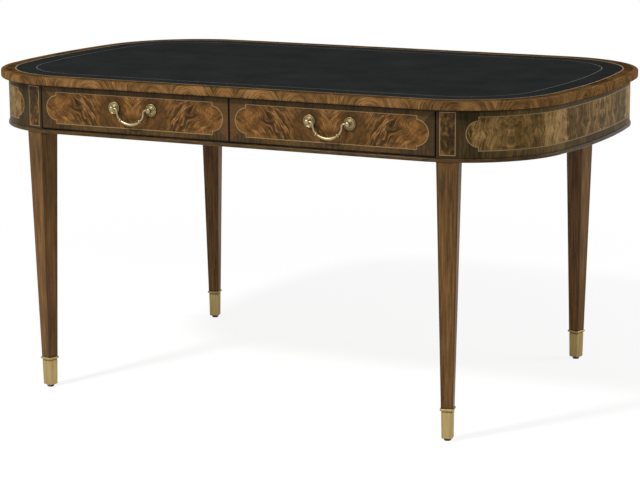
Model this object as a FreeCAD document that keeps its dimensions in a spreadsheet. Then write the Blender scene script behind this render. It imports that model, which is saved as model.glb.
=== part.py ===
import FreeCAD, Part
import math
import os
import re
import types

import Sketcher
from FreeCAD import Placement, Rotation, Vector

# Writing table with a leather top, two frieze drawers and square tapered legs.
# Origin on the floor under the middle of the top, X along the front, Y to the back, Z up.
# Lengths in millimetres, angles in degrees.

SIZES = {
    "whole table": {
        "table_height": 770,
        "top_length": 1510,
        "top_depth": 915,
        "corner_radius": 267,
        "end_radius": 1600,
        "overrun": 2,
    },
    "top": {
        "top_thickness": 20,
        "lipping_width": 12,
        "edge_rounding": 4,
        "band_thickness": 2,
        "band_width": 34.8,
        "top_string_width": 2.2,
        "leather_thickness": 1.8,
    },
    "apron": {
        "top_overhang": 18,
        "apron_height": 116,
        "apron_thickness": 22,
        "rail_depth": 60,
        "lower_rail_thickness": 10,
        "upper_rail_thickness": 15,
        "upper_rail_gap": 1.5,
        "divider_thickness": 16,
        "divider_depth": 36,
        "bead_height": 9,
        "bead_projection": 3,
        "bead_rounding": 2.8,
    },
    "inlay": {
        "inlay_depth": 1.2,
        "string_width": 1.6,
        "panel_height": 76.5,
        "panel_margin": 14.5,
        "lobe_radius": 30,
        "lobe_reach": 27.5,
        "leg_panel_width": 35.5,
        "leg_panel_margin": 5,
    },
    "legs": {
        "leg_angle": 15,
        "leg_side": 50,
        "leg_foot_side": 27.5,
        "leg_arris": 1.2,
        "tenon_side": 22.5,
        "tenon_clearance": 0.2,
    },
    "sabots and glides": {
        "sabot_height": 70,
        "sabot_foot_side": 25,
        "sabot_neck_side": 27,
        "sabot_collar_side": 33,
        "sabot_collar_height": 7,
        "sabot_lip_height": 2,
        "sabot_floor": 4,
        "sabot_arris": 1.2,
        "glide_height": 6,
        "glide_diameter": 17,
        "glide_bevel": 1.5,
    },
    "drawer boxes": {
        "drawer_gap": 2,
        "side_clearance": 1,
        "run_clearance": 0.3,
        "drawer_depth": 470,
        "drawer_side_thickness": 12,
        "drawer_back_thickness": 12,
        "drawer_back_drop": 6,
        "drawer_bottom_thickness": 6,
        "drawer_bottom_rise": 7,
        "groove_depth": 5,
        "groove_clearance": 0.2,
        "lap_thickness": 7,
        "tail_slope": 2.5,
        "tail_strip": 6,
    },
    "tenons of the rails": {
        "tenon_length": 16,
        "tenon_thickness": 8,
        "tenon_setback": 7,
        "tenon_shoulder": 10,
        "flat_tenon_width": 28,
        "flat_tenon_setback": 13,
        "flat_tenon_shoulder": 2.5,
        "upper_tenon_width": 16,
        "upper_tenon_setback": 27,
    },
    "runners, kickers, stops and braces": {
        "runner_width": 28,
        "centre_runner_width": 56,
        "guide_thickness": 10,
        "guide_height": 22,
        "guide_leg_gap": 1.5,
        "kicker_clearance": 1.5,
        "kicker_thickness": 18,
        "stop_length": 40,
        "stop_depth": 12,
        "stop_height": 5.5,
        "stop_gap": 0.3,
        "brace_depth": 85,
        "brace_length": 190,
        "screw_diameter": 5,
        "screw_head_diameter": 10,
        "screw_head_height": 3,
        "screw_bite": 12,
        "screw_clearance": 0.1,
    },
    "handles": {
        "handle_spacing": 101,
        "handle_rise": 9.5,
        "rosette_diameter": 29.5,
        "rosette_thickness": 4,
        "post_diameter": 12,
        "post_projection": 17.5,
        "pivot_projection": 12.5,
        "shank_diameter": 5,
        "shank_clearance": 0.1,
        "shank_tail": 2,
        "nut_diameter": 10,
        "nut_thickness": 4,
        "pin_diameter": 4.4,
        "pin_clearance": 0.05,
        "pin_depth": 7,
        "bail_bend_angle": 39.6,
        "bail_drop_share": 0.3515,
        "bail_bottom_share": 0.416,
        "bail_side_share": 0.2515,
        "bail_neck_diameter": 5.8,
        "bail_grip_diameter": 8.4,
        "bail_shoulder_gap": 0.6,
        "collar_diameter": 10.2,
        "collar_width": 2.8,
    },
}

doc = FreeCAD.newDocument("WritingTable")
sheet = doc.addObject("Spreadsheet::Sheet", "Sizes")


def fill_sheet():
    """Write every group of sizes into the sheet, one size to a row, and read the sheet back."""
    row = 0
    for group, sizes in SIZES.items():
        row += 1
        sheet.set(f"A{row}", group)
        for alias, number in sizes.items():
            row += 1
            sheet.set(f"A{row}", alias.replace("_", " "))
            sheet.set(f"B{row}", str(number))
            sheet.setAlias(f"B{row}", alias)
    doc.recompute()
    names = [alias for sizes in SIZES.values() for alias in sizes]
    return types.SimpleNamespace(**{alias: float(sheet.get(alias)) for alias in names})


size = fill_sheet()


def work_out(sizes):
    """Note sizes that follow from the driving ones in the sheet's second pair of columns."""
    for row, (alias, number) in enumerate(sizes.items(), 1):
        sheet.set(f"D{row}", alias.replace("_", " "))
        sheet.set(f"E{row}", repr(number))
        sheet.setAlias(f"E{row}", alias)
        setattr(size, alias, number)
    doc.recompute()


def bind(thing, settings):
    """Bind properties of an object to sums of sizes, written with the sizes' plain names."""
    for name, text in settings.items():
        words = re.sub(r"[a-z]\w+", lambda w: "Sizes." + w[0] if hasattr(size, w[0]) else w[0], text)
        thing.setExpression(name, words)


# Plan of the top and the apron
# The outline is straight at front and back and bowed at the ends, with round corners.
# Every piece of it keeps the same centres and differs by its inset from the rim of the top.

half_length = size.top_length / 2
half_depth = size.top_depth / 2
end_centre = half_length - size.end_radius
corner_y = half_depth - size.corner_radius
corner_x = end_centre + math.sqrt((size.end_radius - size.corner_radius) ** 2 - corner_y ** 2)
apron_radius = size.corner_radius - size.top_overhang
apron_front = half_depth - size.top_overhang
turn = math.radians(size.leg_angle)
half_leg = size.leg_side / 2
leg_reach = apron_radius - half_leg

# Heights
top_bottom = size.table_height - size.top_thickness
apron_bottom = top_bottom - size.apron_height
rail_top = apron_bottom + size.lower_rail_thickness
panel_middle = (rail_top + top_bottom) / 2
band_bottom = size.table_height - size.band_thickness
side_bottom = rail_top + size.run_clearance
kicker_bottom = top_bottom - size.kicker_thickness
side_top = kicker_bottom - size.kicker_clearance
bottom_panel = side_bottom + size.drawer_bottom_rise


def beside_leg(across, outward):
    """Plan point beside the front right leg: across and outward from the centre of its corner."""
    x = corner_x + outward * math.sin(turn) + across * math.cos(turn)
    y = -corner_y - outward * math.cos(turn) + across * math.sin(turn)
    return Vector(x, y, 0)


def along_leg_side(across, y):
    """Point at depth y on the upright plane that runs beside the front right leg."""
    outward = (-corner_y + across * math.sin(turn) - y) / math.cos(turn)
    return beside_leg(across, outward)


def on_apron(across):
    """Point of the apron's face on the plane that runs beside the front right leg."""
    return beside_leg(across, math.sqrt(apron_radius ** 2 - across ** 2))


def round_corner(angle, radius):
    """Point on the front right corner, at an angle in radians from straight ahead."""
    return Vector(corner_x + radius * math.sin(angle), -corner_y - radius * math.cos(angle), 0)


def mirrored(point):
    return Vector(-point.x, point.y, 0)


def to_back(point):
    return Vector(point.x, -point.y, 0)


# Widths of a drawer: its front between the middle and the leg, its box between the guides
drawer_end = on_apron(-half_leg - size.drawer_gap).x
drawer_middle = (size.drawer_gap / 2 + drawer_end) / 2
guide_out = beside_leg(-half_leg, apron_radius - size.leg_side).x - size.guide_leg_gap
guide_in = guide_out - size.guide_thickness
box_in = size.divider_thickness / 2 + size.side_clearance
box_out = guide_in - size.side_clearance

# Bends of a bail, in its own plane: X along the front and Y up from the pivots
lean = math.radians(size.bail_bend_angle)
bottom_radius = size.handle_spacing * size.bail_bottom_share
side_radius = size.handle_spacing * size.bail_side_share
grip_centre = Vector(0, bottom_radius - size.handle_spacing * size.bail_drop_share, 0)
collar_spot = grip_centre + Vector(math.sin(lean), -math.cos(lean), 0) * bottom_radius
side_centre = collar_spot + Vector(-math.sin(lean), math.cos(lean), 0) * side_radius
neck_centre = Vector(side_centre.x + side_radius - side_centre.y, side_centre.y, 0)
post_side = (size.handle_spacing - size.post_diameter) / 2
shoulder_end = post_side - size.bail_shoulder_gap

work_out({
    "panel_shoulder": drawer_middle - size.drawer_gap / 2 - size.panel_margin - size.lobe_reach,
    "box_width": box_out - box_in,
    "drawer_side_height": side_top - side_bottom,
    "leg_panel_height": top_bottom - rail_top - 2 * size.leg_panel_margin,
    "tail_length": size.apron_thickness - size.lap_thickness,
    "bail_bottom_radius": bottom_radius,
    "bail_side_radius": side_radius,
    "bail_neck_radius": -neck_centre.y,
    "bail_shoulder_length": shoulder_end - neck_centre.x,
})


# Building blocks

def raised(height, turned=0):
    return Placement(Vector(0, 0, height), Rotation(Vector(0, 0, 1), turned))


def new(kind, label):
    made = doc.addObject(kind, label)
    made.Label = label
    return made


def sketch_on(body, name, role="XY_Plane", offset=None):
    """Sketch on one of the body's own origin planes, moved along its normal by a sum of sizes."""
    made = body.newObject("Sketcher::SketchObject", name)
    plane = next(f for f in body.Origin.OriginFeatures if f.Role == role)
    made.AttachmentSupport = [(plane, "")]
    made.MapMode = "FlatFace"
    if offset:
        bind(made, {"AttachmentOffset.Base.z": offset})
    return made


def drawn(sketch, kind, where):
    """Value that a dimension has as drawn; places numbered below nought are on the axes."""
    if kind == "Radius":
        return sketch.Geometry[where[0]].Radius
    first, last = [sketch.getPoint(*spot) if spot[0] >= 0 else Vector() for spot in (where[:2], where[2:])]
    return last.x - first.x if kind == "DistanceX" else last.y - first.y


def dimension(sketch, name, kind, where, text):
    """Add a named dimension that a sum of sizes drives."""
    index = sketch.addConstraint(Sketcher.Constraint(kind, *where, drawn(sketch, kind, where)))
    sketch.renameConstraint(index, name)
    bind(sketch, {"Constraints." + name: text})


def join_ends(sketch, count):
    """Join the end of each of count curves to the start of the next, all the way round."""
    for i in range(count):
        sketch.addConstraint(Sketcher.Constraint("Coincident", i, 2, (i + 1) % count, 1))


def pad(body, sketch, length, **settings):
    made = body.newObject("PartDesign::Pad", "pad")
    made.Profile = sketch
    for name, setting in settings.items():
        setattr(made, name, setting)
    bind(made, {"Length": length})
    doc.recompute()
    return made


def pocket(body, sketch, length, **settings):
    made = body.newObject("PartDesign::Pocket", "pocket")
    made.Profile = sketch
    for name, setting in settings.items():
        setattr(made, name, setting)
    bind(made, {"Length": length})
    doc.recompute()
    return made


def is_upright(edge):
    first, last = edge.Vertexes[0].Point, edge.Vertexes[-1].Point
    return math.hypot(first.x - last.x, first.y - last.y) < Part.Precision.confusion() < abs(first.z - last.z)


def edge_names(shape, wanted):
    return [f"Edge{i}" for i, edge in enumerate(shape.Edges, 1) if wanted(edge)]


def round_edges(body, feature, wanted, radius):
    made = body.newObject("PartDesign::Fillet", "rounding")
    made.Base = (feature, edge_names(feature.Shape, wanted))
    bind(made, {"Radius": radius})
    doc.recompute()
    return made


def plate(label, inset, height, bottom, rounding=None):
    """Plate with the plan outline drawn in by inset, with its rims rounded where asked."""
    body = new("PartDesign::Body", label)
    outline = sketch_on(body, "outline")
    corner = end_centre + math.sqrt(size.end_radius ** 2 - half_depth ** 2)
    swing = math.atan2(half_depth, corner - end_centre)
    right = Part.Circle(Vector(end_centre, 0, 0), Vector(0, 0, 1), size.end_radius)
    left = Part.Circle(Vector(-end_centre, 0, 0), Vector(0, 0, 1), size.end_radius)
    outline.addGeometry([
        Part.LineSegment(Vector(-corner, -half_depth, 0), Vector(corner, -half_depth, 0)),
        Part.ArcOfCircle(right, -swing, swing),
        Part.LineSegment(Vector(corner, half_depth, 0), Vector(-corner, half_depth, 0)),
        Part.ArcOfCircle(left, math.pi - swing, math.pi + swing),
    ])
    join_ends(outline, 4)
    for line in (0, 2):
        outline.addConstraint(Sketcher.Constraint("Horizontal", line))
    for arc in (1, 3):
        outline.addConstraint(Sketcher.Constraint("PointOnObject", arc, 3, -1))
        dimension(outline, f"end_radius_{arc}", "Radius", (arc,), f"end_radius - ({inset})")
    dimension(outline, "right_centre", "DistanceX", (1, 3, -1, 1), "end_radius - top_length / 2")
    dimension(outline, "left_centre", "DistanceX", (-1, 1, 3, 3), "end_radius - top_length / 2")
    dimension(outline, "front", "DistanceY", (0, 1, -1, 1), f"top_depth / 2 - ({inset})")
    dimension(outline, "back", "DistanceY", (-1, 1, 2, 1), f"top_depth / 2 - ({inset})")
    solid = pad(body, outline, height)
    solid = round_edges(body, solid, is_upright, f"corner_radius - ({inset})")
    if rounding:
        round_edges(body, solid, lambda edge: not is_upright(edge), rounding)
    body.Placement = raised(bottom)
    return body


def polygon(body, name, points, role="XY_Plane"):
    """Closed sketch through corner points."""
    outline = sketch_on(body, name, role)
    ends = points[1:] + points[:1]
    outline.addGeometry([Part.LineSegment(a, b) for a, b in zip(points, ends)])
    join_ends(outline, len(points))
    return outline


def prism(label, points, height, bottom):
    """Upright prism over a plan polygon."""
    body = new("PartDesign::Body", label)
    pad(body, polygon(body, "outline", points), height)
    body.Placement = raised(bottom)
    return body


def box(label, length, width, height, corner, turned=0):
    made = new("Part::Box", label)
    bind(made, {"Length": length, "Width": width, "Height": height})
    made.Placement = Placement(corner, Rotation(Vector(0, 0, 1), turned))
    return made


def rod(label, radius, height, place):
    made = new("Part::Cylinder", label)
    bind(made, {"Radius": radius, "Height": height})
    made.Placement = place
    return made


def cut(label, base, *tools):
    made = new("Part::Cut", label)
    made.Base = base
    made.Tool = tools[0] if len(tools) == 1 else fuse(label + "_cutters", tools)
    return made


def common(label, base, tool):
    made = new("Part::Common", label)
    made.Base = base
    made.Tool = tool
    return made


def fuse(label, shapes):
    made = new("Part::MultiFuse", label)
    made.Shapes = list(shapes)
    return made


def group(label, shapes):
    made = new("Part::Compound", label)
    made.Links = list(shapes)
    return made


def mirror(label, source):
    """The same piece on the other side of the table's middle plane."""
    made = new("Part::Mirroring", label)
    made.Source = source
    made.Normal = Vector(1, 0, 0)
    return made


def turned_profile(label, points, place):
    """Solid of revolution about its own Z axis, from points of radius and height."""
    body = new("PartDesign::Body", label)
    outline = polygon(body, "profile", [Vector(radius, height, 0) for radius, height in points], "XZ_Plane")
    made = body.newObject("PartDesign::Revolution", "turning")
    made.Profile = outline
    made.ReferenceAxis = (outline, ["V_Axis"])
    made.Angle = 360
    body.Placement = place
    return body


nodes = []


def keep(*pieces):
    """Count pieces among the table's nodes, in the order in which they are written."""
    nodes.extend(pieces)
    return pieces[-1]


# Top

string_inset = "band_width + top_string_width"
top_body = "top_thickness - band_thickness"


def brace_screw_points():
    """Places of the screws that hold the top: two in each corner brace."""
    outward = apron_radius - size.leg_side - size.brace_depth / 2
    front = [beside_leg(half_leg + size.brace_length * share, outward) for share in BRACE_SCREW_SHARES]
    right = front + [to_back(point) for point in front]
    return right + [mirrored(point) for point in right]


BRACE_SCREW_SHARES = (0.1, 0.5)

core = plate("top_core_board", "lipping_width", top_body, top_bottom)
pilots = [
    rod("pilot_hole", "screw_diameter / 2 + screw_clearance", "screw_bite + overrun + screw_clearance",
        Placement(point + Vector(0, 0, top_bottom - size.overrun), Rotation()))
    for point in brace_screw_points()
]
keep(cut("top_core", core, *pilots))
rim = plate("top_rim", "0", "top_thickness", top_bottom, "edge_rounding")
keep(cut("top_lipping", rim, plate("lipping_inside", "lipping_width", "top_thickness", top_bottom)))
band = plate("band_outline", "lipping_width", "band_thickness", band_bottom)
keep(cut("top_crossbanding", band, plate("band_inside", "band_width", "band_thickness", band_bottom)))
string = plate("string_outline", "band_width", "band_thickness", band_bottom)
keep(cut("top_stringing", string, plate("string_inside", string_inset, "band_thickness", band_bottom)))
keep(plate("leather_inset", string_inset, "leather_thickness", band_bottom))


# Zones of the apron between the sides of the legs

zone_reach = 2 * size.corner_radius
zone_right = half_length + size.corner_radius


def front_zone(label, height, bottom):
    outer = beside_leg(-half_leg, zone_reach)
    inner = beside_leg(-half_leg, 0)
    return prism(label, [outer, inner, mirrored(inner), mirrored(outer)], height, bottom)


def right_zone(label, outer, inner, height, bottom):
    corner = Vector(zone_right, outer.y, 0)
    points = [inner, outer, corner, to_back(corner), to_back(outer), to_back(inner)]
    return prism(label, points, height, bottom)


def end_zone(label, height, bottom):
    return right_zone(label, beside_leg(half_leg, zone_reach), beside_leg(half_leg, 0), height, bottom)


def leg_place(side, end, height=0):
    """Frame of a leg: its Y axis points into the table from the middle of the apron's face."""
    angle = size.leg_angle if side * end < 0 else -size.leg_angle
    spot = beside_leg(0, leg_reach)
    return Placement(Vector(side * spot.x, -end * spot.y, height),
                     Rotation(Vector(0, 0, 1), angle if end < 0 else 180 + angle))


LEGS = {
    "front_left": (-1, -1),
    "front_right": (1, -1),
    "back_left": (-1, 1),
    "back_right": (1, 1),
}


# Inlays that follow the face of the apron

skin = cut("inlay_skin",
           plate("skin_outside", "top_overhang", "apron_height", apron_bottom),
           plate("skin_inside", "top_overhang + inlay_depth", "apron_height", apron_bottom))
recess = cut("inlay_recess",
             plate("recess_outside", "top_overhang - overrun", "apron_height", apron_bottom),
             plate("recess_inside", "top_overhang + inlay_depth", "apron_height", apron_bottom))


def lobed_prism(label, inset):
    """Prism with the drawer panel's outline: a rectangle with a round lobe beyond each end."""
    body = new("PartDesign::Body", label)
    outline = sketch_on(body, "outline", "XZ_Plane")
    top = size.panel_height / 2
    shoulder = size.panel_shoulder
    lobe_centre = shoulder + size.lobe_reach - size.lobe_radius
    notch = math.sqrt(size.lobe_radius ** 2 - (shoulder - lobe_centre) ** 2)
    swing = math.atan2(notch, shoulder - lobe_centre)
    right = Part.Circle(Vector(lobe_centre, 0, 0), Vector(0, 0, 1), size.lobe_radius)
    left = Part.Circle(Vector(-lobe_centre, 0, 0), Vector(0, 0, 1), size.lobe_radius)
    corners = [(1, -top), (1, -notch), (1, notch), (1, top), (-1, top), (-1, notch), (-1, -notch), (-1, -top)]
    a, b, c, d, e, f, g, k = [Vector(side * shoulder, height, 0) for side, height in corners]
    outline.addGeometry([
        Part.LineSegment(k, a),
        Part.LineSegment(a, b),
        Part.ArcOfCircle(right, -swing, swing),
        Part.LineSegment(c, d),
        Part.LineSegment(d, e),
        Part.LineSegment(e, f),
        Part.ArcOfCircle(left, math.pi - swing, math.pi + swing),
        Part.LineSegment(g, k),
    ])
    join_ends(outline, 8)
    for line in (0, 4):
        outline.addConstraint(Sketcher.Constraint("Horizontal", line))
    for line in (1, 3, 5, 7):
        outline.addConstraint(Sketcher.Constraint("Vertical", line))
    for arc in (2, 6):
        outline.addConstraint(Sketcher.Constraint("PointOnObject", arc, 3, -1))
        dimension(outline, f"lobe_{arc}", "Radius", (arc,), f"lobe_radius - ({inset})")
    dimension(outline, "bottom", "DistanceY", (0, 1, -1, 1), f"panel_height / 2 - ({inset})")
    dimension(outline, "top", "DistanceY", (-1, 1, 4, 1), f"panel_height / 2 - ({inset})")
    for line, where in ((1, (-1, 1, 1, 1)), (3, (-1, 1, 3, 1)), (5, (5, 1, -1, 1)), (7, (7, 1, -1, 1))):
        dimension(outline, f"shoulder_{line}", "DistanceX", where, f"panel_shoulder - ({inset})")
    for arc, where in ((2, (-1, 1, 2, 3)), (6, (6, 3, -1, 1))):
        dimension(outline, f"centre_{arc}", "DistanceX", where, "panel_shoulder + lobe_reach - lobe_radius")
    pad(body, outline, "apron_thickness", Midplane=True)
    return body


def straight_panel(label, x, end):
    """Cutter, stringing and panel let into the straight front or back of the apron."""
    place = Placement(Vector(x, end * apron_front, panel_middle), Rotation())
    outer = lobed_prism(label + "_outline", "0")
    inner = lobed_prism(label + "_field", "string_width")
    for made in (outer, inner):
        made.Placement = place
    return (common(label + "_recess", recess, outer),
            common(label + "_stringing", skin, cut(label + "_frame", outer, inner)),
            common(label + "_veneer", skin, inner))


leg_edge = turn + math.asin(half_leg / apron_radius)


def end_tool(label, inset_name, inset):
    """The lobed outline bent round the right end: an upright wedge with a lobe at each end."""
    first = leg_edge + (size.panel_margin + size.lobe_reach + inset) / apron_radius
    lobe = leg_edge + (size.panel_margin + size.lobe_radius) / apron_radius
    low = panel_middle - size.panel_height / 2 + inset
    wedge = right_zone(label + "_wedge", round_corner(first, zone_reach), round_corner(first, 0),
                       f"panel_height - 2 * ({inset_name})", low)
    outward = round_corner(lobe, 1) - round_corner(lobe, 0)
    start = round_corner(lobe, apron_radius - size.apron_thickness / 2) + Vector(0, 0, panel_middle)
    lobes = []
    for flip in (1, -1):
        axis = Vector(outward.x, flip * outward.y, 0)
        place = Placement(Vector(start.x, flip * start.y, start.z), Rotation(Vector(0, 0, 1), axis))
        lobes.append(rod(label + "_lobe", f"lobe_radius - ({inset_name})", "apron_thickness", place))
    return fuse(label, [wedge] + lobes)


end_outline = end_tool("end_outline", "0", 0)
end_field = end_tool("end_field", "string_width", size.string_width)
end_recess = common("end_recess", recess, end_outline)
end_frame = cut("end_frame", end_outline, end_field)


# Tenons: each one is part of its rail and makes its own mortise in the leg

def tenon(label, corner, way, thick, setback, height, low):
    """Block that reaches into a leg from one side, set back from its face."""
    place = leg_place(*LEGS[corner], low)
    near = half_leg - size.tenon_length if way > 0 else -half_leg
    spot = place.multVec(Vector(near, setback - half_leg, 0))
    block = box(f"{corner}_{label}_tenon", "tenon_length", thick, height, spot)
    block.Placement = Placement(spot, place.Rotation)
    return block


def upright_tenon(label, corner, way):
    return tenon(label, corner, way, "tenon_thickness", size.tenon_setback,
                 "apron_height - 2 * tenon_shoulder", apron_bottom + size.tenon_shoulder)


tenons = {}
for corner, (side, end) in LEGS.items():
    way = side * end
    tenons[corner, "end"] = upright_tenon("end", corner, -way)
    if end > 0:
        tenons[corner, "back"] = upright_tenon("back", corner, way)
    else:
        tenons[corner, "lower"] = tenon(
            "lower", corner, way, "flat_tenon_width", size.flat_tenon_setback,
            "lower_rail_thickness - 2 * flat_tenon_shoulder", apron_bottom + size.flat_tenon_shoulder)
        tenons[corner, "upper"] = tenon(
            "upper", corner, way, "upper_tenon_width", size.upper_tenon_setback,
            "upper_rail_thickness - 2 * flat_tenon_shoulder",
            top_bottom - size.upper_rail_thickness + size.flat_tenon_shoulder)


def with_tenons(label, board, name, corners):
    return fuse(label, [board] + [tenons[corner, name] for corner in corners])


FRONT = ("front_left", "front_right")
BACK = ("back_left", "back_right")

# Rails

def rail_outline(body, depth):
    """Plan of a rail that fills the front from leg to leg; its face follows the apron."""
    outline = sketch_on(body, "outline")
    end = on_apron(-half_leg)
    back = along_leg_side(-half_leg, -apron_front + depth)
    tangent = Vector(corner_x, -apron_front, 0)
    swing = math.atan2(end.y + corner_y, end.x - corner_x)
    right = Part.Circle(Vector(corner_x, -corner_y, 0), Vector(0, 0, 1), apron_radius)
    left = Part.Circle(Vector(-corner_x, -corner_y, 0), Vector(0, 0, 1), apron_radius)
    outline.addGeometry([
        Part.LineSegment(mirrored(tangent), tangent),
        Part.ArcOfCircle(right, -math.pi / 2, swing),
        Part.LineSegment(end, back),
        Part.LineSegment(back, mirrored(back)),
        Part.LineSegment(mirrored(back), mirrored(end)),
        Part.ArcOfCircle(left, -math.pi - swing, -math.pi / 2),
    ])
    join_ends(outline, 6)
    return outline


def rail(label, depth, height, bottom, turned=0):
    body = new("PartDesign::Body", label)
    pad(body, rail_outline(body, getattr(size, depth)), height)
    body.Placement = raised(bottom, turned)
    return body


lower_board = rail("lower_rail_board", "rail_depth", "lower_rail_thickness", apron_bottom)
keep(with_tenons("front_lower_rail", lower_board, "lower", FRONT))
upper_front = -apron_front + size.apron_thickness + size.upper_rail_gap
upper_back = upper_front + size.rail_depth
upper_corners = [along_leg_side(-half_leg, upper_front), along_leg_side(-half_leg, upper_back)]
upper_board = prism("upper_rail_board", upper_corners + [mirrored(p) for p in reversed(upper_corners)],
                    "upper_rail_thickness", top_bottom - size.upper_rail_thickness)
keep(with_tenons("front_upper_rail", upper_board, "upper", FRONT))
keep(box("centre_divider", "divider_thickness", "divider_depth",
         "apron_height - lower_rail_thickness - upper_rail_thickness",
         Vector(-size.divider_thickness / 2, upper_front, rail_top)))

back_panels = [straight_panel("back_left", -drawer_middle, 1), straight_panel("back_right", drawer_middle, 1)]
back_board = cut("back_rail_board", rail("back_board", "apron_thickness", "apron_height", apron_bottom, 180),
                 *[panel[0] for panel in back_panels])
keep(with_tenons("back_rail", back_board, "back", BACK))
keep(group("back_panels", [panel[2] for panel in back_panels]))
apron_strings = [panel[1] for panel in back_panels]

apron_ring = cut("apron_ring",
                 plate("apron_outside", "top_overhang", "apron_height", apron_bottom),
                 plate("apron_inside", "top_overhang + apron_thickness", "apron_height", apron_bottom))
for side, turned in (("right", 0), ("left", 180)):
    zone = end_zone(f"{side}_end_zone", "apron_height", apron_bottom)
    board = common(f"{side}_end_board", apron_ring, zone)
    whole = cut(f"{side}_end_bow", board, end_recess)
    string = common(f"{side}_end_stringing", skin, end_frame)
    panel = common(f"{side}_end_panel", skin, end_field)
    for piece in (whole, string, panel):
        piece.Placement = raised(0, turned)
    keep(with_tenons(f"{side}_end_rail", whole, "end", (f"front_{side}", f"back_{side}")))
    keep(panel)
    apron_strings.append(string)
keep(group("apron_stringing", apron_strings))


# Bead along the bottom edge of the apron

bead_outside = plate("bead_outside", "top_overhang - bead_projection", "bead_height", apron_bottom,
                     "bead_rounding")
bead_ring = cut("bead_ring", bead_outside, plate("bead_inside", "top_overhang", "bead_height", apron_bottom))
beads = {}
for label, zone, turned in (("front_bead", front_zone, 0), ("back_bead", front_zone, 180),
                            ("right_end_bead", end_zone, 0), ("left_end_bead", end_zone, 180)):
    beads[label] = common(label, bead_ring, zone(label + "_zone", "bead_height", apron_bottom))
    beads[label].Placement = raised(0, turned)
keep(beads["front_bead"], beads["back_bead"])
keep(group("end_beads", [beads["left_end_bead"], beads["right_end_bead"]]))
leg_beads = []
for name, (side, end) in LEGS.items():
    place = leg_place(side, end, apron_bottom)
    corner = place.multVec(Vector(-half_leg, -size.leg_side, 0))
    strip = box(f"{name}_bead_strip", "leg_side", "leg_side", "bead_height", corner)
    strip.Placement = Placement(corner, place.Rotation)
    leg_beads.append(common(f"{name}_bead", bead_ring, strip))
keep(group("leg_beads", leg_beads))


# Legs: a block that stands in the apron, a tapered shaft and a tenon for the sabot

def square(body, name, side, height):
    """Square of a given side about the body's axis, at a height."""
    outline = sketch_on(body, name, "XY_Plane", height)
    corners = [Vector(x, y, 0) for x, y in ((-1, -1), (1, -1), (1, 1), (-1, 1))]
    outline.addGeometry([Part.LineSegment(a, b) for a, b in zip(corners, corners[1:] + corners[:1])])
    join_ends(outline, 4)
    for line in (0, 2):
        outline.addConstraint(Sketcher.Constraint("Horizontal", line))
    for line in (1, 3):
        outline.addConstraint(Sketcher.Constraint("Vertical", line))
    dimension(outline, "left", "DistanceX", (0, 1, -1, 1), f"({side}) / 2")
    dimension(outline, "right", "DistanceX", (-1, 1, 1, 1), f"({side}) / 2")
    dimension(outline, "front", "DistanceY", (0, 1, -1, 1), f"({side}) / 2")
    dimension(outline, "back", "DistanceY", (-1, 1, 2, 1), f"({side}) / 2")
    return outline


def face_strip(body, name, width, front_radius, back, height):
    """Plan strip behind the apron's face, as the leg sees it: a curved front and a flat or curved back."""
    outline = sketch_on(body, name, "XY_Plane", height)
    centre = Vector(0, leg_reach, 0)
    half = width / 2

    def face(radius, across):
        return Vector(across, leg_reach - math.sqrt(radius ** 2 - across ** 2), 0)

    def arc(radius):
        swing = math.asin(half / radius)
        circle = Part.Circle(centre, Vector(0, 0, 1), radius)
        return Part.ArcOfCircle(circle, -math.pi / 2 - swing, -math.pi / 2 + swing)

    front_left, front_right = face(front_radius, -half), face(front_radius, half)
    if back == "flat":
        back_left, back_right = Vector(-half, half_leg, 0), Vector(half, half_leg, 0)
        rear = Part.LineSegment(back_right, back_left)
    else:
        back_left, back_right = face(back, -half), face(back, half)
        rear = arc(back)
    outline.addGeometry([
        arc(front_radius),
        Part.LineSegment(front_right, back_right),
        rear,
        Part.LineSegment(back_left, front_left),
    ])
    return outline


inlay_radius = apron_radius - size.inlay_depth
apron_foot = "table_height - top_thickness - apron_height"
sabot_head = "glide_height + sabot_height"
rail_head = f"{apron_foot} + lower_rail_thickness"
leg_panel_foot = f"{rail_head} + leg_panel_margin"


def tapered(body, low, low_side, high, high_side):
    """Square block about the body's axis that changes evenly from one side to another."""
    block = body.newObject("PartDesign::AdditiveWedge", "taper")
    block.AttachmentSupport = [(next(f for f in body.Origin.OriginFeatures if f.Role == "XZ_Plane"), "")]
    block.MapMode = "FlatFace"
    bind(block, {"Ymin": low, "Ymax": high})
    for axis in ("X", "Z"):
        bind(block, {
            axis + "min": f"-({low_side}) / 2",
            axis + "max": f"({low_side}) / 2",
            axis + "2min": f"-({high_side}) / 2",
            axis + "2max": f"({high_side}) / 2",
        })
    doc.recompute()
    return block


def leg(label, place):
    body = new("PartDesign::Body", label)
    shaft = tapered(body, sabot_head, "leg_foot_side", apron_foot, "leg_side")
    round_edges(body, shaft, lambda edge: edge.Length > size.leg_side + size.overrun, "leg_arris")
    pad(body, face_strip(body, "block", size.leg_side, apron_radius, "flat", apron_foot), "apron_height")
    pad(body, square(body, "tenon", "tenon_side", sabot_head), "sabot_height - sabot_floor - tenon_clearance",
        Reversed=True)
    sunk = face_strip(body, "sunk", size.leg_panel_width, apron_radius + size.overrun, inlay_radius,
                      leg_panel_foot)
    pocket(body, sunk, "leg_panel_height", Reversed=True)
    body.Placement = place
    return body


def leg_inlay(label, width, height, foot, place):
    body = new("PartDesign::Body", label)
    pad(body, face_strip(body, "inlay", width, apron_radius, inlay_radius, foot), height)
    body.Placement = place
    return body


# Sabots: square brass cups with a flared collar

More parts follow.
